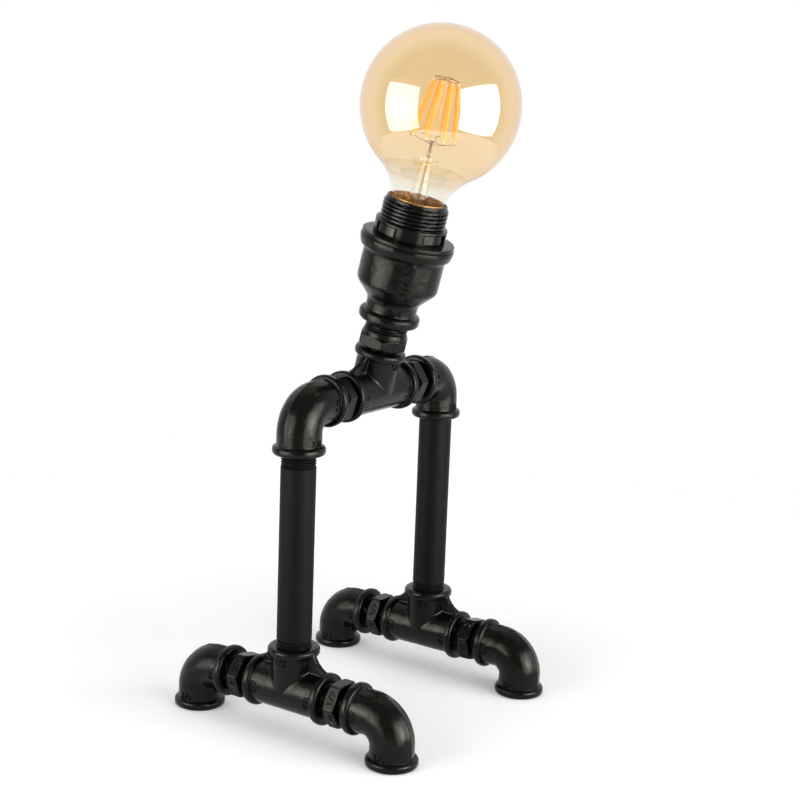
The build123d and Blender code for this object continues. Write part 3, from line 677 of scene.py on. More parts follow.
# three tubes that meet on the 45 degree planes between run and branch: on each ray from a tube's
# axis the surface lies where the blended field is nought
def teeShells(halfRun, f):
    angles = webAngles()
    cosine, sine = np.cos(angles), np.sin(angles)
    cosine[np.abs(cosine) < 1e-9] = 0.0
    core = f["body"] * 0.8

    def field(p):
        return teeField(p, halfRun, f)

    port = portProfile(f)
    share = np.linspace(0, 1, 22)[:-1, None] ** 1.1
    axes = {"right": (1, 0, 0), "left": (-1, 0, 0), "branch": (0, 0, 1)}
    shells = []
    for kind, axis in axes.items():
        axis = np.array(axis, float)
        face = f["face"] if kind == "branch" else halfRun
        # each line starts on a slanted plane, or on the middle plane below the run
        lean = np.abs(cosine) if kind == "branch" else np.clip(cosine, 0, None)
        if kind == "branch":
            outwards = np.stack([cosine, sine, 0 * cosine], -1)
        else:
            outwards = np.stack([0 * cosine, sine, cosine], -1)
        slope = outwards + lean[:, None] * axis
        first = crossing(field, np.zeros_like(slope), slope, core, 45.0) * lean
        axial = first + (face - port[0, 0] - first) * share
        centre = axial[..., None] * axis
        limit = np.where(lean > 1e-6, axial / np.maximum(lean, 1e-6), 40.0)
        rays = np.broadcast_to(outwards, centre.shape)
        radius = crossing(field, centre, rays, core, np.clip(limit, core, 2 * f["body"]))
        body = centre + radius[..., None] * rays
        fade = plateau(share, 0.12, 0.85, 0.12)
        body += rays * (castSkin(body, f["skin"], 3.1) * fade)[..., None]
        onEdge = smoothStep(radius, f["body"] + 0.6, f["body"] + 1.8) * fade
        body += rays * (castSkin(body, f["lumps"]["rough"], f["lumps"]["grain"]) * onEdge)[..., None]
        # the web runs on over the bead as far as its middle
        rimAxial = np.repeat(face - port[:, :1], len(angles), axis=1)
        rimCentre = rimAxial[..., None] * axis
        rimRays = np.broadcast_to(outwards, rimCentre.shape)
        webRadius = crossing(field, rimCentre, rimRays, core, 2 * f["body"])
        onWeb = (np.arange(len(port)) < np.argmax(port[:, 0] < f["beadWidth"] / 2))[:, None]
        rimRadius = np.maximum(port[:, 1:], np.where(onWeb, webRadius, 0))
        rim = rimCentre + rimRadius[..., None] * rimRays
        innerFirst = f["passage"] * lean
        innerAxial = innerFirst + (face - f["socketDepth"] - innerFirst) * np.array([[0.66], [0.33], [0.0]])
        inner = innerAxial[..., None] * axis + f["passage"] * outwards
        shells.append(gridShell(np.concatenate([body, rim, inner]), openEnds=True))
    return shells


# fills long straight runs of an outline so that waviness has points to act on
def denser(profile, step):
    pieces = []
    for a, b in zip(profile[:-1], profile[1:]):
        count = max(int(np.linalg.norm(b - a) / step), 1)
        pieces.append(a + (b - a) * np.linspace(0, 1, count, endpoint=False)[:, None])
    return np.vstack(pieces + [profile[-1:]])


# strokes of plain size numbers in a box one high
strokes = {
    "1": [[(0.05, 0.72), (0.32, 1.0), (0.32, 0.0)]],
    "2": [[(0.0, 0.78), (0.1, 0.95), (0.33, 1.0), (0.56, 0.88), (0.56, 0.64), (0.0, 0.0), (0.6, 0.0)]],
    "3": [[(0.0, 1.0), (0.58, 1.0), (0.24, 0.6), (0.54, 0.5), (0.6, 0.22), (0.36, 0.0), (0.0, 0.1)]],
    "4": [[(0.46, 0.0), (0.46, 1.0), (0.0, 0.3), (0.64, 0.3)]],
    "/": [[(0.0, -0.08), (0.5, 1.08)]],
    "-": [[(0.08, 0.5), (0.5, 0.5)]],
}
mark = {
    "size": "1/2", "height": 3.4, "fromBead": 2.4,
    "pitch": 0.82, "wide": 0.6,                          # of the letters, as shares of their height
    "half": 0.6, "top": 0.14, "rise": 0.72, "sunk": 0.3,  # a stroke's section
    "onFlats": 0.8,                                      # share of the rise that is left on a hexagon
}


# raised strokes with sloped sides: a flat-topped section is carried along each line; place takes
# (across, up) in mm and a lift off the surface
def ridgeShell(line, place, m=mark):
    path = denser(np.array(line, float), 0.6)
    ahead = np.gradient(path, axis=0)
    ahead /= np.linalg.norm(ahead, axis=1)[:, None]
    side = np.stack([-ahead[:, 1], ahead[:, 0]], -1)
    section = ((-m["half"], -m["sunk"]), (-m["half"], 0.0), (-m["top"], m["rise"]), (m["top"], m["rise"]),
               (m["half"], 0.0), (m["half"], -m["sunk"]))
    return outward(gridShell(np.stack([place(path + side * across, lift) for across, lift in section], 1)))


# one raised ridge per stroke, with the text's middle at place's nought
def markShells(text, height, place):
    shells = []
    for k, letter in enumerate(text):
        shift = (k - (len(text) - 1) / 2) * mark["pitch"] - mark["wide"] / 2
        for line in strokes[letter]:
            shells.append(ridgeShell([((x + shift) * height, (y - 0.5) * height) for x, y in line], place))
    return shells


# across goes round a cylinder and up along it, or the other way about
def roundCylinder(radius, turn, along, frame, upright=True):
    def place(spots, lift):
        x, y = (spots[:, 0], spots[:, 1]) if upright else (-spots[:, 1], spots[:, 0])
        angle = math.radians(turn) + x / radius
        points = np.stack([(radius + lift) * np.cos(angle), (radius + lift) * np.sin(angle), along + y], -1)
        return points @ frame[:3, :3].T + frame[:3, 3]
    return place


# the size stands beside each bead on both sides of a fitting
def fittingMarks(f, ports):
    shells = []
    for axis, helper, face in ports:
        frame = turnedFrame((0, 0, 0), axis, helper)
        along = face - f["beadWidth"] - mark["fromBead"]
        for turn in (90, -90):
            place = roundCylinder(f["body"], turn, along, frame)
            shells += markShells(mark["size"], mark["height"], place)
    return shells


# beside the two beads of the run and the branch's
def teeMarks(f, halfRun):
    ports = [((1, 0, 0), (0, 0, 1), halfRun), ((-1, 0, 0), (0, 0, 1), halfRun), ((0, 0, 1), (1, 0, 0), f["face"])]
    return fittingMarks(f, ports)


elbowPorts = [((0, 0, -1), (1, 0, 0), fitting["face"]), ((1, 0, 0), (0, 0, -1), fitting["face"])]
elbows = elbowShells(fitting) + fittingMarks(fitting, elbowPorts)
baseTee, headTee = (teeShells(half, fitting) + teeMarks(fitting, half)
                    for half in (fitting["face"], fitting["crossbarHalf"]))
sides = (("left", -1), ("right", 1))
ends = (("rear", 1), ("front", -1))
crossbar = tiltPlace[2]
for side, sx in sides:
    for end, sy in ends:
        name = "foot_elbow_" + side + "_" + end
        spot = turnedFrame((legX[side], footY[end], baseHeight), (0, 0, 1), (0, -sy, 0))
        piece = makePiece("cast_" + name, elbows, spot, casting)
        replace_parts(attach(piece, "frame"), name)
    name = "top_elbow_" + side
    spot = turnedFrame((legX[side], 0, crossbar), (0, 0, 1), (-sx, 0, 0))
    piece = makePiece("cast_" + name, elbows, spot, casting)
    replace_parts(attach(piece, "frame"), name)
    name = "base_tee_" + side
    spot = turnedFrame((legX[side], 0, baseHeight), (0, 0, 1), (0, 1, 0))
    piece = makePiece("cast_" + name, baseTee, spot, casting, weld=True)
    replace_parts(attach(piece, "frame"), name)
piece = makePiece("cast_head_tee", headTee, headFrame, casting, weld=True)
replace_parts(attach(piece, "head"), "head_tee")
print("fittings cast")


# male threads, hexagon nipples and pipes
pipeThread = {"crest": 10.48, "pitch": 1.814, "depth": 1.0, "rows": 9}
nipple = {"half": 22.0, "bore": 7.5, "flats": 26.0, "hexHalf": 4.0, "bare": 5.6, "crown": 30.0,
          "markTurns": (150, 210, 330), "markHeight": 3.6}


# corners are rounded by adding high powers of the distance to each pair of flats
def hexRadius(angle, flats, turn):
    total = sum(np.abs(np.cos(angle - math.radians(turn + 30 + 60 * k))) ** 44 for k in range(3))
    return flats / 2 * total ** (-1 / 44)


# angles bunched round six corners
def hexAngles(turn, count=144):
    u = roundAngles(count)
    return u - 0.75 / 6 * np.sin(6 * u) + math.radians(turn)


# rows of one feature: (along, radius, kind), kind 0 plain, 1 threaded, 2 hexagon
def rowsOf(lowAlong, highAlong, radius, kind, count):
    along = np.linspace(lowAlong, highAlong, count)
    return np.stack([along, np.full(count, radius), np.full(count, kind)], -1)


# rows enough to show each turn of the helix
def threadRows(lowAlong, highAlong, t):
    count = max(int(abs(highAlong - lowAlong) / t["pitch"] * t["rows"]), 3)
    return rowsOf(lowAlong, highAlong, t["crest"], 1, count)


# hexagon with its corners turned down to a cone at both ends
def hexRows(low, high, flats, crown):
    corner = flats / math.sqrt(3)
    rise = (corner - flats / 2) * math.tan(math.radians(crown))
    u = np.linspace(0, 1, 7)
    lower = np.stack([low + rise * u, flats / 2 + (corner - flats / 2) * u, 2 + 0 * u], -1)
    upper = np.stack([high - rise * u[::-1], flats / 2 + (corner - flats / 2) * u[::-1], 2 + 0 * u], -1)
    middle = rowsOf(low + rise, high - rise, corner + 1, 2, 5)
    return np.vstack([[low, flats / 2 - 0.3, 0], lower, middle, upper, [high, flats / 2 - 0.3, 0]])


# plain and threaded rows are circles, threaded ones cut by the helix, and hexagon rows are the
# lower of the hexagon and the cone
def barShell(rows, angles, flats, turn, thread):
    along = np.repeat(rows[:, :1], len(angles), axis=1)
    angle = np.repeat(angles[None], len(rows), axis=0)
    radius = np.repeat(rows[:, 1:2], len(angles), axis=1)
    kind = rows[:, 2:3]
    cut = threadCut(along, angle, thread["pitch"], thread["depth"])
    radius = np.where(kind == 1, radius + cut, radius)
    radius = np.where(kind == 2, np.minimum(hexRadius(angle, flats, turn), radius), radius)
    points = np.stack([radius * np.cos(angle), radius * np.sin(angle), along], -1)
    return outward(gridShell(points, loop=True))


# rows from one end to the other: hidden thread, bare thread, hexagon, and the same mirrored
def nippleShell(n, t):
    h, root = n["half"], t["crest"] - t["depth"]
    rows = np.vstack([
        [-h, n["bore"], 0], [-h, root, 0], [-h + 1, t["crest"] - 0.1, 0],
        [-n["hexHalf"] - n["bare"], t["crest"] - 0.1, 0],
        threadRows(-n["hexHalf"] - n["bare"] + 0.05, -n["hexHalf"] - 0.4, t), [-n["hexHalf"], root, 0],
        hexRows(-n["hexHalf"], n["hexHalf"], n["flats"], n["crown"]),
        [n["hexHalf"], root, 0], threadRows(n["hexHalf"] + 0.4, n["hexHalf"] + n["bare"] - 0.05, t),
        [n["hexHalf"] + n["bare"], t["crest"] - 0.1, 0],
        [h - 1, t["crest"] - 0.1, 0], [h, root, 0], [h, n["bore"], 0],
    ])
    return barShell(rows, hexAngles(0), n["flats"], 0, t)


# 4 x 4 matrices of a turn and of a shift
def axisTurn(degrees, axis):
    return np.array(Matrix.Rotation(math.radians(degrees), 4, axis))


def shifted(place):
    matrix = np.eye(4)
    matrix[:3, 3] = place
    return matrix


# how far each nipple was turned home
clock = {
    "base_nipple_left_rear": 10.0, "base_nipple_left_front": 0.0,
    "base_nipple_right_rear": 0.0, "base_nipple_right_front": 12.0,
    "crossbar_nipple_left": 18.0, "crossbar_nipple_right": 24.0,
}
nippleMesh = nippleShell(nipple, pipeThread)


# across runs round the hexagon and up along it, on the flat at one turn
def onFlat(turn, flats, along):
    def place(spots, lift):
        cosine, sine = math.cos(math.radians(turn)), math.sin(math.radians(turn))
        far = flats / 2 + lift * mark["onFlats"]
        across, up = spots[:, 0], spots[:, 1]
        return np.stack([far * cosine - across * sine, far * sine + across * cosine, along + up], -1)
    return place


nippleMarks = []
for turn in nipple["markTurns"]:
    nippleMarks += markShells(mark["size"], nipple["markHeight"], onFlat(turn, nipple["flats"], 0))
for name, turn in clock.items():
    if name.startswith("base"):
        spin, marks = axisTurn(turn, "Y") @ axisTurn(-90, "X"), nippleMarks
    else:
        spin, marks = axisTurn(turn, "X") @ axisTurn(90, "Y"), []
    piece = makePiece("turned_" + name, [nippleMesh] + marks, shifted(nodeCentre(name)) @ spin, steel)
    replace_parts(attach(piece, "frame"), name)

pipe = {"radius": 10.65, "bore": 8.05, "length": 144.4, "hidden": 13.1, "footBare": 4.4,
        "topBare": {"left": 7.4, "right": 0.6}}


# rows from the foot up: hidden thread, bare thread, plain pipe, and the same above
def pipeShell(p, topBare, t):
    low, high = p["hidden"] + p["footBare"], p["length"] - p["hidden"] - topBare
    crest = t["crest"] - 0.1
    rows = np.vstack([
        [0, p["bore"], 0], [0, crest - 0.8, 0], [1, crest, 0], [p["hidden"] - 1.2, crest, 0],
        threadRows(p["hidden"] - 1.1, low - 0.5, t), [low - 0.2, t["crest"] - 0.5, 0],
        [low, p["radius"] - 0.15, 0], [low + 0.2, p["radius"], 0],
        rowsOf(low + 1, high - 1, p["radius"], 0, 14),
        [high - 0.2, p["radius"], 0], [high, p["radius"] - 0.15, 0], [high + 0.2, t["crest"] - 0.5, 0],
        threadRows(high + 0.5, p["length"] - p["hidden"] + 1.1, t),
        [p["length"] - p["hidden"] + 1.2, crest, 0],
        [p["length"] - 1, crest, 0], [p["length"], crest - 0.8, 0], [p["length"], p["bore"], 0],
    ])
    return barShell(rows, roundAngles(96), 1, 0, t)


for side, sx in sides:
    name = "upright_pipe_" + side
    foot = nodeCentre(name) - np.array([0, 0, pipe["length"] / 2])
    piece = makePiece("drawn_" + name, [pipeShell(pipe, pipe["topBare"][side], pipeThread)], shifted(foot), pipePaint)
    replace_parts(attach(piece, "frame"), name)

headNipple = {
    "low": 14.9, "threadLow": 27.0, "hexLow": 30.5, "hexHigh": 37.1, "shoulderHigh": 40.9, "threadHigh": 47.0,
    "high": 58.6, "flats": 28.6, "turn": 31.4, "crown": 30.0, "shoulder": 13.9, "large": 13.22,
    "bore": 7.5, "largeBore": 9.8, "seamTurns": (30, 210), "seam": {"half": 0.4, "top": 0.1, "rise": 0.3, "sunk": 0.3},
}


# rows from the small end up: thread, hexagon, a quarter round down to the large thread, bores
def headNippleShell(n, t):
    large = {**t, "crest": n["large"]}
    crest = t["crest"] - 0.1
    fall = np.linspace(0, np.pi / 2, 9)
    drop = n["shoulder"] - n["large"] + t["depth"]
    slope = [n["hexHigh"], n["shoulder"], 0] + np.stack([
        (n["shoulderHigh"] - n["hexHigh"]) * np.sin(fall), -drop * (1 - np.cos(fall)), 0 * fall,
    ], -1)
    rows = np.vstack([
        [n["low"], n["bore"], 0], [n["low"], crest - 0.8, 0], [n["low"] + 1, crest, 0],
        [n["threadLow"] - 0.2, crest, 0], threadRows(n["threadLow"], n["hexLow"] - 0.3, t),
        [n["hexLow"], t["crest"] - t["depth"], 0],
        hexRows(n["hexLow"], n["hexHigh"], n["flats"], n["crown"]), slope,
        threadRows(n["shoulderHigh"] + 0.1, n["threadHigh"], large), [n["threadHigh"] + 0.2, n["large"] - 0.1, 0],
        [n["high"] - 1, n["large"] - 0.1, 0], [n["high"], n["large"] - 1, 0], [n["high"], n["largeBore"], 0],
        [n["hexHigh"], n["largeBore"], 0], [n["hexHigh"], n["bore"], 0],
    ])
    return barShell(rows, hexAngles(n["turn"]), n["flats"], n["turn"], t)


# the mould's joint shows as a low ridge up the middle of two opposite flats
def seamShells(n):
    middle, reach = (n["hexLow"] + n["hexHigh"]) / 2, (n["hexHigh"] - n["hexLow"]) / 2
    flats = [onFlat(n["turn"] + turn, n["flats"], middle) for turn in n["seamTurns"]]
    return [ridgeShell([(0, -reach), (0, reach - 0.3)], flat, n["seam"]) for flat in flats]


headNippleShells = [headNippleShell(headNipple, pipeThread)] + seamShells(headNipple)
piece = makePiece("turned_head_nipple", headNippleShells, headFrame, steel)
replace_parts(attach(piece, "head"), "head_nipple")
print("nipples and pipes turned")


# corners of the reducing socket's section are (along, radius, rounding)
reducer = {
    "outline": [
        (46.0, 13.77, 0), (46.0, 18.75, 2.2), (52.6, 18.75, 2.2), (52.6, 15.75, 0.7), (59.7, 15.75, 7.0),
        (69.9, 25.0, 5.0), (90.4, 25.0, 2.6), (91.3, 27.6, 1.6), (95.4, 28.65, 5.0), (97.8, 28.65, 0.5),
        (97.8, 20.955, 0.4), (77.0, 20.955, 0.5), (64.0, 10.0, 0.5), (61.0, 10.0, 0.2), (61.0, 13.27, 0),
        (46.6, 13.27, 0),
    ],
    "mouth": 97.8,
    "skin": 0.06,
    "panelTurn": 223.5,
    "panel": (1.8, 8.6, 20.6),  # thick, wide and high
    "panelMiddle": 80.3,
    "panelFace": 25.7,
    "panelMark": ("1/4-3/4", 3.8),
    "neck": 15.75,
    "neckTurn": 222.0,
    "neckMiddle": 55.2,
    "neckMark": ("3/4", 3.6),
}


# the section turned round, a rounded block let into its side, ribs along the block and the sizes
def reducerShells(r):
    profile = denser(roundedProfile(r["outline"], 7), 1.4)
    angles = roundAngles(160)
    points = turnedGrid(profile, angles)
    radial = np.stack([np.cos(angles), np.sin(angles), 0 * angles], -1)[None]
    outside = (np.arange(len(profile)) < np.argmax(profile[:, 0] > r["mouth"] - 0.1))[:, None]
    points += radial * (castSkin(points, r["skin"], 4.2) * outside)[..., None]
    thick, wide, high = r["panel"]
    panel = gridShell(roundedBlock(r["panel"], 0.6, 18, 36))
    place = axisTurn(r["panelTurn"], "Z") @ shifted((r["panelFace"] - thick / 2, 0, r["panelMiddle"]))
    shells = [outward(gridShell(points, loop=True)), outward(moved(panel, place))]
    level = roundCylinder(r["panelFace"], r["panelTurn"], r["panelMiddle"], np.eye(4), upright=False)
    shells += markShells(*r["panelMark"], level)
    reach, rim = high / 2 - 0.6, wide / 2 - 0.5
    shells += [ridgeShell([(-reach, side * rim), (reach, side * rim)], level) for side in (-1, 1)]
    shells += markShells(*r["neckMark"], roundCylinder(r["neck"], r["neckTurn"], r["neckMiddle"], np.eye(4)))
    return shells


piece = makePiece("cast_head_reducer", reducerShells(reducer), headFrame, casting)
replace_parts(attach(piece, "head"), "head_reducer")

disc = {"outline": [(97.8, 19.1, 0), (97.8, 28.2, 0.5), (100.4, 28.2, 0.5), (100.4, 19.1, 0.2)]}
discShape = roundedProfile(disc["outline"] + [disc["outline"][0]])[:-1]
piece = makePiece("pressed_cover_disc", [outward(gridShell(turnedGrid(discShape, roundAngles(160)), loop=True))],
                  headFrame, steel)
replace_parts(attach(piece, "head"), "cover_disc")
print("reducer and disc made")


holder = {
    "outline": [
        (70.0, 5.05, 0), (70.0, 8.5, 0.4), (76.0, 8.5, 0.4), (84.0, 18.9, 0.8), (100.4, 18.9, 0), (100.4, 21.95, 0.3),
        (109.1, 21.95, 0.7), (109.1, 19.96, 0.1), (101.9, 19.96, 0), (101.9, 16.9, 0), (86.7, 16.9, 0),
        (86.7, 15.4, 0), (84.0, 15.4, 0), (78.0, 6.5, 0), (78.0, 5.05, 0),
    ],
    "windows": 4, "turn": -8.0, "width": 19.4, "low": 101.1, "high": 107.7, "depth": 2.1,
    "collar": 21.95, "collarMiddle": 21.0,
}
sleeve = {
    "outline": [(101.9, 17.0, 0), (101.9, 19.8, 0), (109.0, 19.8, 0)],
    "threadLow": 109.0, "threadHigh": 121.7, "crest": 19.9, "root": 18.45, "pitch": 2.35, "rows": 14,
    "rim": 123.3, "rimRadius": 18.5, "bore": 17.0,
    "fadeIn": 1.0, "lead": 1.25, "leadLow": 119.5, "leadHigh": 122.3,
    "latchWidth": 15.4, "latchShift": -1.5, "latchFoot": 18.8, "latchOuter": 21.1,
}


# columns doubled at the two sides of each window so that its walls are steep
def windowAngles(h, radius):
    halfAngle = h["width"] / 2 / radius
    edge = 0.004
    one = np.concatenate([
        np.linspace(-halfAngle + edge, halfAngle - edge, 9),
        np.linspace(halfAngle + edge, 2 * np.pi / h["windows"] - halfAngle - edge, 27),
    ])
    turns = np.arange(h["windows"])[:, None] * 2 * np.pi / h["windows"]
    return (one[None] + turns).ravel() + math.radians(h["turn"]), halfAngle


# a window lets the collar's wall down to the sleeve
def holderShell(h):
    profile = roundedProfile(h["outline"], 4)
    steps = np.array([(edge + side * 0.02, h["collar"]) for edge in (h["low"], h["high"]) for side in (-1, 1)])
    last = np.argmax((profile[:, 0] > h["high"]) & (profile[:, 1] > h["collar"] - 0.05))
    profile = np.vstack([profile[:last], steps, profile[last:]])
    angles, halfAngle = windowAngles(h, h["collarMiddle"])

    def change(along, angle, radius):
        step = 2 * np.pi / h["windows"]
        off = np.abs((angle - math.radians(h["turn"]) + step / 2) % step - step / 2)
        inside = (off < halfAngle) & (along > h["low"]) & (along < h["high"]) & (radius > h["collar"] - 0.45)
        return np.where(inside, -h["depth"], 0.0)

    return outward(gridShell(turnedGrid(profile, angles, change), loop=True))


piece = makePiece("moulded_holder_base", [holderShell(holder)], headFrame, plastic)
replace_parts(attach(piece, "head"), "holder_base")


# coarse rounded thread: the radius swings between crest and root as a softened triangle wave of
# height less the share of a turn, and fades out at both ends
def sleeveShells(s, h):
    rows = int((s["threadHigh"] - s["threadLow"]) / s["pitch"] * s["rows"])
    thread = np.stack([np.linspace(s["threadLow"], s["threadHigh"], rows), np.full(rows, s["crest"])], -1)
    tip = roundedProfile([
        (s["threadHigh"], s["rimRadius"], 0), (s["rim"], s["rimRadius"], 0.5), (s["rim"], s["bore"], 0.4),
        (s["rim"] - 4, s["bore"], 0),
    ], 5)
    profile = np.vstack([np.array(s["outline"])[:, :2], thread, tip, [[s["rim"] - 12, s["bore"]]]])

    def change(along, angle, radius):
        wave = np.abs(2 * ((along / s["pitch"] - angle / (2 * np.pi)) % 1) - 1)
        cut = (s["crest"] - s["root"]) * smoothStep(wave, 0.4, 0.94)
        fade = smoothStep(along, s["threadLow"], s["threadLow"] + s["fadeIn"])
        lead = s["lead"] * smoothStep(along, s["leadLow"], s["leadHigh"])
        threaded = (radius > s["crest"] - 0.05) & (along >= s["threadLow"])
        return np.where(threaded, -np.maximum(cut * fade, lead), 0.0)

    shells = [outward(gridShell(turnedGrid(profile, roundAngles(180), change), loop=True))]
    half, low, high = s["latchWidth"] / 2, h["low"] + 0.3, h["high"] - 0.5
    foot, outer = s["latchFoot"], s["latchOuter"]
    across = np.concatenate([[-half, -half + 0.15], np.linspace(-half + 0.5, half - 0.5, 17), [half - 0.15, half]])
    drop = np.array([0.5, 0.15] + [0] * 17 + [0.15, 0.5])
    # a bent bar: its section of (radius, along) is carried round the sleeve
    section = np.array([(foot, low), (outer - 0.4, low), (outer, low + 0.4), (outer - 0.15, (low + high) / 2),
                        (outer - 0.5, high - 0.4), (outer - 0.9, high), (foot, high)])
    for k in range(h["windows"]):
        turn = math.radians(h["turn"] + 360 / h["windows"] * k) + (across + s["latchShift"]) / outer
        radius = np.maximum(section[None, :, 0] - drop[:, None], foot)
        points = np.stack([radius * np.cos(turn)[:, None], radius * np.sin(turn)[:, None],
                           section[None, :, 1] + 0 * radius], -1)
        shells.append(outward(gridShell(points)))
    return shells


piece = makePiece("moulded_holder_sleeve", sleeveShells(sleeve, holder), headFrame, plastic)
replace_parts(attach(piece, "head"), "holder_sleeve")
print("lampholder moulded")


# lengths along the head's axis from the tilt axis, and radii
bulb = {
    "middle": 180.5, "radius": 47.6, "glass": 0.9, "neck": 15.0, "neckStart": 66.0, "low": 112.3,
    "stemBase": 6.0, "stemTop": 4.2, "stemWall": 0.9, "flareTop": 117.5, "tip": 146.0, "stemHigh": 153.0,
    "rod": 1.1, "pinch": 1.9,
    "ringLow": (160.5, 13.7), "ringHigh": (196.0, 7.3), "ringWave": 0.5, "wire": 0.17,  # rings: (height, radius)
    "hub": (159.0, 1.6), "sticks": 8, "stickTurn": 196.0, "stickRadius": 1.0,
    "leadTurns": (211.0, 31.0), "leadLow": 111.0, "leadOffset": 1.1, "leadWire": 0.16,
}


# half section from the top: a sphere, a hollow arc tangent to it and to the straight neck
def glassProfile(b, shrink, count):
    ball, neck = b["radius"] - shrink, b["neck"] - shrink
    flare = (neck ** 2 + b["neckStart"] ** 2 - ball ** 2) / (2 * (ball - neck))
    centre = np.array([b["middle"] - b["neckStart"], neck + flare])
    fall = math.atan2(b["neckStart"], centre[1])
    tilt = np.linspace(np.pi / 2 - 0.008, -fall, count)
    sphere = np.stack([b["middle"] + ball * np.sin(tilt), ball * np.cos(tilt)], -1)
    bend = np.linspace(fall, 0, count // 3)[1:]
    hollow = np.stack([centre[0] + flare * np.sin(bend), centre[1] - flare * np.cos(bend)], -1)
    return np.vstack([sphere, hollow, [b["low"] + 0.3, neck]])


# the outer half section down to the neck's lip and the inner one back, turned round
def globeShell(b):
    outer = glassProfile(b, 0, 90)
    inner = glassProfile(b, b["glass"], 90)[::-1]
    lip = [[b["low"], b["neck"] - 0.3], [b["low"], b["neck"] - b["glass"] + 0.3]]
    return outward(gridShell(turnedGrid(np.vstack([outer, lip, inner]), roundAngles(180))))


# a solid rod that widens below a pinch to a hollow tube with a flared foot
def stemShell(b):
    lip = b["neck"] - b["glass"] - 0.05
    high = b["ringHigh"][0] - b["wire"]
    outline = [
        (high, 0.05, 0), (high, b["rod"], 0.5), (b["stemHigh"], b["rod"], 0.8), (b["stemHigh"] - 1.6, b["pinch"], 0.7),
        (b["stemHigh"] - 3.2, b["rod"], 0.7), (b["tip"] + 1.4, b["stemTop"], 1.8), (b["tip"] - 3.0, b["stemTop"], 3.0),
        (b["flareTop"], b["stemBase"], 6.0), (b["low"], lip, 0.4), (b["low"], lip - b["stemWall"], 0.3),
        (b["flareTop"] - 1, b["stemBase"] - b["stemWall"], 5.0), (b["tip"] - 1.5, b["stemTop"] - b["stemWall"], 1.5),
        (b["tip"], 0.6, 0.5), (b["tip"], 0.05, 0),
    ]
    return outward(gridShell(turnedGrid(denser(roundedProfile(outline, 9), 1.5), roundAngles(72))))


piece = makePiece("blown_bulb_globe", [globeShell(bulb)], headFrame, amber, sharpAngle=60)
# the film lies on the outer face only
spots = np.empty(len(piece.data.vertices) * 3, np.float32)
piece.data.vertices.foreach_get("co", spots)
spots = (spots.reshape(-1, 3) / metre - tiltPlace) @ headFrame[:3, :3]
fromMiddle = np.hypot(np.hypot(spots[:, 0], spots[:, 1]), spots[:, 2] - bulb["middle"])
fromAxis = np.hypot(spots[:, 0], spots[:, 1])
inGlobe = fromMiddle < bulb["radius"] + 0.5
film = np.where(inGlobe, fromMiddle > bulb["radius"] - bulb["glass"] / 2, fromAxis > bulb["neck"] - bulb["glass"] / 2)
layer = piece.data.attributes.new("film", "FLOAT", "POINT")
layer.data.foreach_set("value", film.astype(np.float32))
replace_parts(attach(piece, "bulb"), "bulb_globe")
piece = makePiece("drawn_bulb_stem", [stemShell(bulb)], headFrame, clearDrawn, sharpAngle=60)
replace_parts(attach(piece, "bulb"), "bulb_stem")


# a rod with round ends: circles whose radius follows a quarter ellipse at both ends
def stickShell(start, end, radius, ending, sides=20):
    start, end = np.array(start, float), np.array(end, float)
    length = np.linalg.norm(end - start)
    quarter = np.linspace(0.06, np.pi / 2, 7)
    along = np.concatenate([ending * (1 - np.cos(quarter)), length - ending * (1 - np.cos(quarter[::-1]))])
    size = radius * np.concatenate([np.sin(quarter), np.sin(quarter[::-1])])
    grid = turnedGrid(np.stack([along, size], -1), roundAngles(sides))
    return outward(moved(gridShell(grid), turnedFrame(start, end - start, (0.3, 1, 0.2))))


# a point of a circle about the head's axis
def circlePoint(turn, radius, along):
    return np.array([radius * math.cos(turn), radius * math.sin(turn), along])


# the place of stick k, also between two of them
def onRing(k, radius, along):
    return circlePoint(math.radians(bulb["stickTurn"] + 360 * k / bulb["sticks"]), radius, along)


# a thin wire through a few points, rounded by a cubic through their thirds
def bentWire(points, radius):
    points = np.array(points, float)
    share = np.linspace(0, len(points) - 1, 8 * (len(points) - 1) + 1)
    low = np.clip(share.astype(int), 0, len(points) - 2)
    t = (share - low)[:, None]
    ahead = np.gradient(points, axis=0) * 0.7
    a, b, c, d = points[low], points[low + 1], ahead[low], ahead[low + 1]
    path = a * (1 + 2 * t) * (1 - t) ** 2 + c * t * (1 - t) ** 2 + b * t * t * (3 - 2 * t) + d * t * t * (t - 1)
    return tubeShell(path, radius, 8)


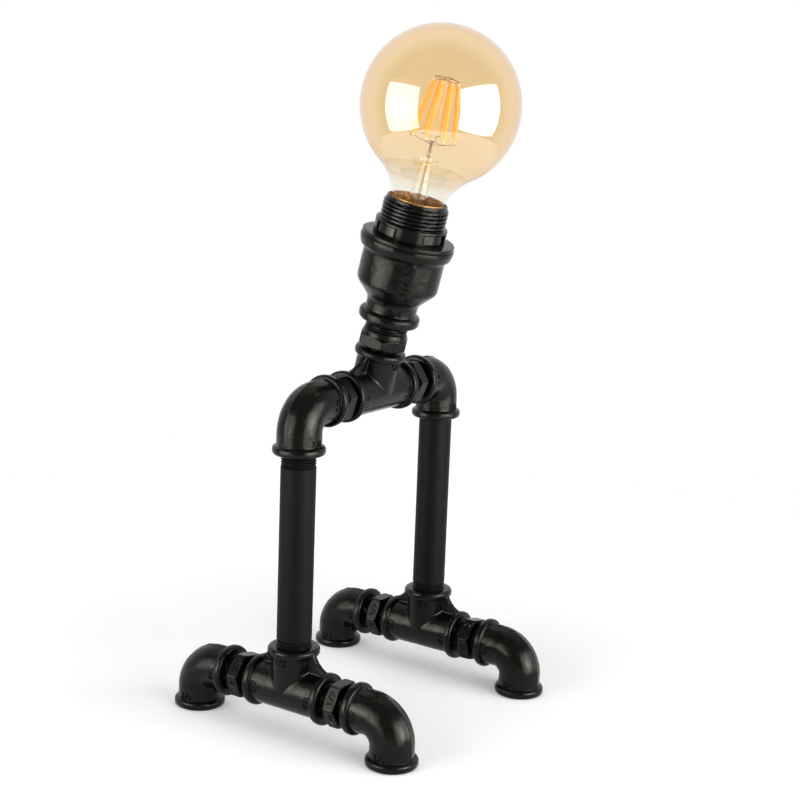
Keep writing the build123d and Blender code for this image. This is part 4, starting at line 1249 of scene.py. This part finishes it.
# eight sticks lean from the wide low ring to the narrow high one; wires tie the rings to the rod
sticks, stickEnds, highWires, lowWires = [], [], [], []
lowAlong, lowRadius = bulb["ringLow"]
highAlong, highRadius = bulb["ringHigh"]
hubAlong, hubRadius = bulb["hub"]
wire = bulb["wire"]
circle = roundAngles(96)
ripple = bulb["ringWave"] * np.sin(4 * circle)
star = np.stack([highRadius * np.cos(circle), highRadius * np.sin(circle), highAlong + ripple], -1)
highWires.append(tubeShell(star, wire, 8, loop=True))
hub = np.stack([hubRadius * np.cos(circle), hubRadius * np.sin(circle), 0 * circle + hubAlong], -1)
lowWires.append(tubeShell(hub, wire, 8, loop=True))
for k in range(bulb["sticks"]):
    low, high = onRing(k, lowRadius, lowAlong), onRing(k, highRadius, highAlong)
    ahead = (high - low) / np.linalg.norm(high - low)
    sticks.append(stickShell(low + ahead * 2.0, high - ahead * 1.9, bulb["stickRadius"], 0.7))
    stickEnds.append(stickShell(low + ahead * 0.2, low + ahead * 2.6, 0.7, 0.2))
    stickEnds.append(stickShell(high - ahead * 2.5, high - ahead * 0.2, 0.7, 0.2))
    if k % 2 == 0:
        highWires.append(bentWire([high, onRing(k, 4.0, highAlong + 1.0), onRing(k, 1.0, highAlong + 0.1)], wire))
        lowWires.append(bentWire([onRing(k, hubRadius, hubAlong), onRing(k, 6.5, lowAlong - 2.2),
                                  onRing(k + 0.15, 11.0, lowAlong - 0.8), low + (0, 0, 0.4)], wire))
        lowWires.append(bentWire([low, onRing(k + 0.5, lowRadius * 0.96, lowAlong - 1.0),
                                  onRing(k + 1, lowRadius, lowAlong)], wire))
    lowWires.append(bentWire([low + ahead * 0.6, low - ahead * 0.2, onRing(k, lowRadius + 1.4, lowAlong + 0.3)], wire))
leads = []
for turn in np.radians(bulb["leadTurns"]):
    low, high = (circlePoint(turn, bulb["leadOffset"], along) for along in (bulb["leadLow"], bulb["tip"]))
    leads.append(tubeShell(np.linspace(low, high, 12), bulb["leadWire"], 8))
    foot, top = circlePoint(turn, 1.2, bulb["tip"] + 2), circlePoint(turn, hubRadius, hubAlong)
    lowWires.append(tubeShell(np.linspace(foot, top, 6), wire, 8))
for name, shells, node, finish, slotName in (
    ("coated_bulb_filaments", sticks, "bulb_filaments", phosphor, "filament_phosphor"),
    ("drawn_ring_wire_high", highWires, "ring_wire_high", darkWire, "wire_nickel"),
    ("drawn_ring_wire_low", lowWires, "ring_wire_low", darkWire, "wire_nickel"),
    ("pressed_filament_ends", stickEnds, None, nickel, "wire_nickel"),
    ("drawn_lead_wires", leads, "lead_wires", darkWire, "wire_nickel"),
):
    piece = makePiece(name, shells, headFrame, finish, sharpAngle=45)
    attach(piece, "bulb")
    if node:
        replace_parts(piece, node)

cap = {"thread": 13.05, "root": 12.15, "pitch": 3.629, "rows": 64, "low": 94.5, "threadHigh": 108.0,
       "fade": 2.0, "flare": 113.1, "skirt": 16.3, "skirtHigh": 123.9, "sheet": 0.3}


# the cap's sheet is rolled into a round thread, flared to a skirt round the glass
def capShell(c):
    along = np.linspace(c["low"], c["threadHigh"], c["rows"])
    outer = np.vstack([np.stack([along, np.full(c["rows"], c["thread"])], -1), roundedProfile([
        (c["threadHigh"] + 0.6, c["thread"] - 0.2, 0), (c["flare"], c["skirt"], 1.5), (c["skirtHigh"], c["skirt"], 0),
    ])])
    inner = outer[::-1] - np.array([0, c["sheet"]])

    def change(along, angle, radius):
        wave = 0.5 - 0.5 * np.cos(2 * np.pi * (along / c["pitch"]) - angle)
        fade = smoothStep(along, c["low"], c["low"] + c["fade"])
        fade *= 1 - smoothStep(along, c["threadHigh"] - c["fade"], c["threadHigh"])
        return np.where(along <= c["threadHigh"], -(c["thread"] - c["root"]) * wave * fade, 0.0)

    return outward(gridShell(turnedGrid(np.vstack([outer, inner]), roundAngles(120), change), loop=True))


piece = makePiece("rolled_bulb_cap", [capShell(cap)], headFrame, capMetal, sharpAngle=50)
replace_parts(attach(piece, "bulb"), "bulb_cap")
print("bulb blown")


# finishes of the nodes that keep their own shape
finishes = {
    "inlet_bush": rubber, "frame_lead": sheath, "head_lead": sheath, "live_core": brownCore,
    "neutral_core": blueCore, "earth_core": earthCore, "clamp_washer": zinc, "earth_tag": zinc,
    "clamp_nut": zinc, "entry_tube": zinc, "terminal_screws": zinc, "holder_insert": ceramic,
    "screw_shell": nickel, "centre_contact": brass, "neutral_contact": brass,
    "bulb_cement": cement, "bulb_insulator": darkGlass, "bulb_tip": solder, "bulb_driver": board,
}
for name, thing in frame["nodes"].items():
    thing.data.materials.clear()
    thing.data.materials.append(finishes.get(name, casting))
print("finishes given")


# two softboxes stand beside the lamp and one above it; turns are from the front, -Y, towards +X, and
# lengths in metres
studio = {
    "away": 1.15, "sideHeight": 0.30,
    "left": {"turn": -112.5, "size": (1.12, 1.25), "energy": 15.0, "glow": 11.5},
    "right": {"turn": 1.0, "size": (1.35, 1.25), "energy": 25.0, "glow": 20.0},
    "cardGap": 0.01, "cardCore": 0.36, "cardRim": 1.6,
    "top": {"place": (0.1, 0.1, 1.6), "size": (1.4, 1.4), "energy": 8.0},
    "floorRadius": 0.62, "floorTint": "#f4f4f4", "floorGlow": (0.2, 0.45), "glowFrom": (0.16, 0.50),
    "roomLight": 0.22, "roomGlow": 0.16, "backdropTurn": 56.0, "backdropEdge": (-0.2, 0.5),
}


# an area light turned so that its face looks at the target
def softbox(name, place, target, size, energy):
    data = bpy.data.lights.new(name, "AREA")
    data.shape = "RECTANGLE"
    data.size, data.size_y = size
    data.energy = energy
    lamp = bpy.data.objects.new(name, data)
    back = np.array(place) - np.array(target)
    side = np.cross((0, 0, 1), back)
    across = side if np.linalg.norm(side) > 1e-6 else (1, 0, 0)
    lamp.matrix_world = Matrix(turnedFrame(place, back, across).tolist())
    scene.collection.objects.link(lamp)
    return lamp


# a place at a turn round the lamp
def fromTurn(degrees, distance, height):
    turn = math.radians(degrees)
    return (math.sin(turn) * distance, -math.cos(turn) * distance, height)


level = (0, 0, studio["sideHeight"])
for side, _ in sides:
    box = studio[side]
    softbox("softbox_" + side, fromTurn(box["turn"], studio["away"], studio["sideHeight"]), level, box["size"],
            box["energy"])


# a softbox looks brighter in a mirror than the light it gives to matt things: a card close behind it
# that only gloss sees
def mirrorCard(name, place, target, size, glow):
    m = startMaterial("glow of " + name)
    # brightest in the middle, as a softbox is in front of its bulb
    spot = addNode(m, "ShaderNodeTexCoord").outputs["Object"]
    middle = addNode(m, "ShaderNodeMapping", values={"Location": [-v for v in place]}, links={"Vector": spot})
    off = addNode(m, "ShaderNodeVectorMath", {"operation": "LENGTH"}, {0: middle.outputs[0]}).outputs["Value"]
    fall = addNode(m, "ShaderNodeMapRange", softEdges, {"Value": off},
                   {"From Min": 0.0, "From Max": studio["cardCore"], "To Min": glow, "To Max": studio["cardRim"]})
    light = addNode(m, "ShaderNodeEmission", links={"Strength": fall.outputs["Result"]}, values={"Color": white})
    corners = np.array([[-1, -1], [1, -1], [1, 1], [-1, 1]]) / 2 * np.array(size) / metre
    grid = np.concatenate([corners, np.zeros((4, 1))], 1)[None]
    flat = (grid.reshape(-1, 3), np.array([[0, 1, 2, 3]]), np.zeros((0, 3), int))
    back = np.array(place) - np.array(target)
    card = makePiece(name, [flat], turnedFrame(np.array(place) / metre, back, np.cross((0, 0, 1), back)),
                     finishMaterial(m, light.outputs[0]))
    card.visible_diffuse = False
    card.visible_camera = False
    card.visible_transmission = False
    card.visible_shadow = False


for side, _ in sides:
    box = studio[side]
    spot = fromTurn(box["turn"], studio["away"] + studio["cardGap"], studio["sideHeight"])
    mirrorCard("mirror_card_" + side, spot, level, box["size"], box["glow"])
top = softbox("softbox_top", studio["top"]["place"], (0, 0, 0), studio["top"]["size"], studio["top"]["energy"])
top.visible_glossy = False

world = bpy.data.worlds.new("room")
scene.world = world
world.use_nodes = True
world.node_tree.nodes.clear()
ray = addNode(world, "ShaderNodeLightPath")
seen = addNode(world, "ShaderNodeMath", {"operation": "MAXIMUM"},
               {0: ray.outputs["Is Camera Ray"], 1: ray.outputs["Is Transmission Ray"]})
# gloss sees the white backdrop on one side of the room and its dim other side
aim = addNode(world, "ShaderNodeTexCoord").outputs["Generated"]
backdropTurn = math.radians(studio["backdropTurn"])
facing = addNode(world, "ShaderNodeVectorMath", {"operation": "DOT_PRODUCT"}, {0: aim},
                 {1: (math.sin(backdropTurn), math.cos(backdropTurn), 0.0)})
dark, light = studio["backdropEdge"]
shade = addNode(world, "ShaderNodeMapRange", softEdges, {"Value": facing.outputs["Value"]},
                {"From Min": dark, "From Max": light, "To Min": studio["roomGlow"]})
glossy = addNode(world, "ShaderNodeMath", {"operation": "MULTIPLY"},
                 {0: ray.outputs["Is Glossy Ray"], 1: shade.outputs["Result"]})
seenAny = addNode(world, "ShaderNodeMath", {"operation": "MAXIMUM"}, {0: seen.outputs[0], 1: glossy.outputs[0]})
lit, shown = (addNode(world, "ShaderNodeBackground", values={"Color": white, "Strength": strength}).outputs[0]
              for strength in (studio["roomLight"], 1.0))
blendWorld = addNode(world, "ShaderNodeMixShader", links={0: seenAny.outputs[0], 1: lit, 2: shown})
addNode(world, "ShaderNodeOutputWorld", links={"Surface": blendWorld.outputs[0]})


# white painted board: matt, with a glow that only eyes and mirrors see, stronger away from the lamp
def floorMaterial():
    m = startMaterial("white table")
    ray = addNode(m, "ShaderNodeLightPath")
    seen = addNode(m, "ShaderNodeMath", {"operation": "MAXIMUM"},
                   {0: ray.outputs["Is Camera Ray"], 1: ray.outputs["Is Transmission Ray"]})
    seenAny = addNode(m, "ShaderNodeMath", {"operation": "MAXIMUM"},
                      {0: seen.outputs[0], 1: ray.outputs["Is Glossy Ray"]})
    matt = addNode(m, "ShaderNodeBsdfDiffuse", values={"Color": linearColour(studio["floorTint"])}).outputs["BSDF"]
    place = addNode(m, "ShaderNodeTexCoord").outputs["Object"]
    away = addNode(m, "ShaderNodeVectorMath", {"operation": "LENGTH"}, {0: place}).outputs["Value"]
    near, far = studio["glowFrom"]
    dull, bright = studio["floorGlow"]
    rise = addNode(m, "ShaderNodeMapRange", softEdges, {"Value": away},
                   {"From Min": near, "From Max": far, "To Min": dull, "To Max": bright})
    level = addNode(m, "ShaderNodeMath", {"operation": "MULTIPLY"}, {0: seenAny.outputs[0], 1: rise.outputs["Result"]})
    glow = addNode(m, "ShaderNodeEmission", values={"Color": white}, links={"Strength": level.outputs[0]})
    both = addNode(m, "ShaderNodeAddShader", links={0: matt, 1: glow.outputs[0]})
    return finishMaterial(m, both.outputs[0])


rim = roundAngles(96)
rings = np.linspace(1e-5, studio["floorRadius"], 6) / metre
floorGrid = rings[:, None, None] * np.stack([np.cos(rim), np.sin(rim), 0 * rim], -1)[None]
floor = makePiece("floor", [gridShell(floorGrid, openEnds=True)], np.eye(4), floorMaterial(), sharpAngle=30)
print("light and floor set")
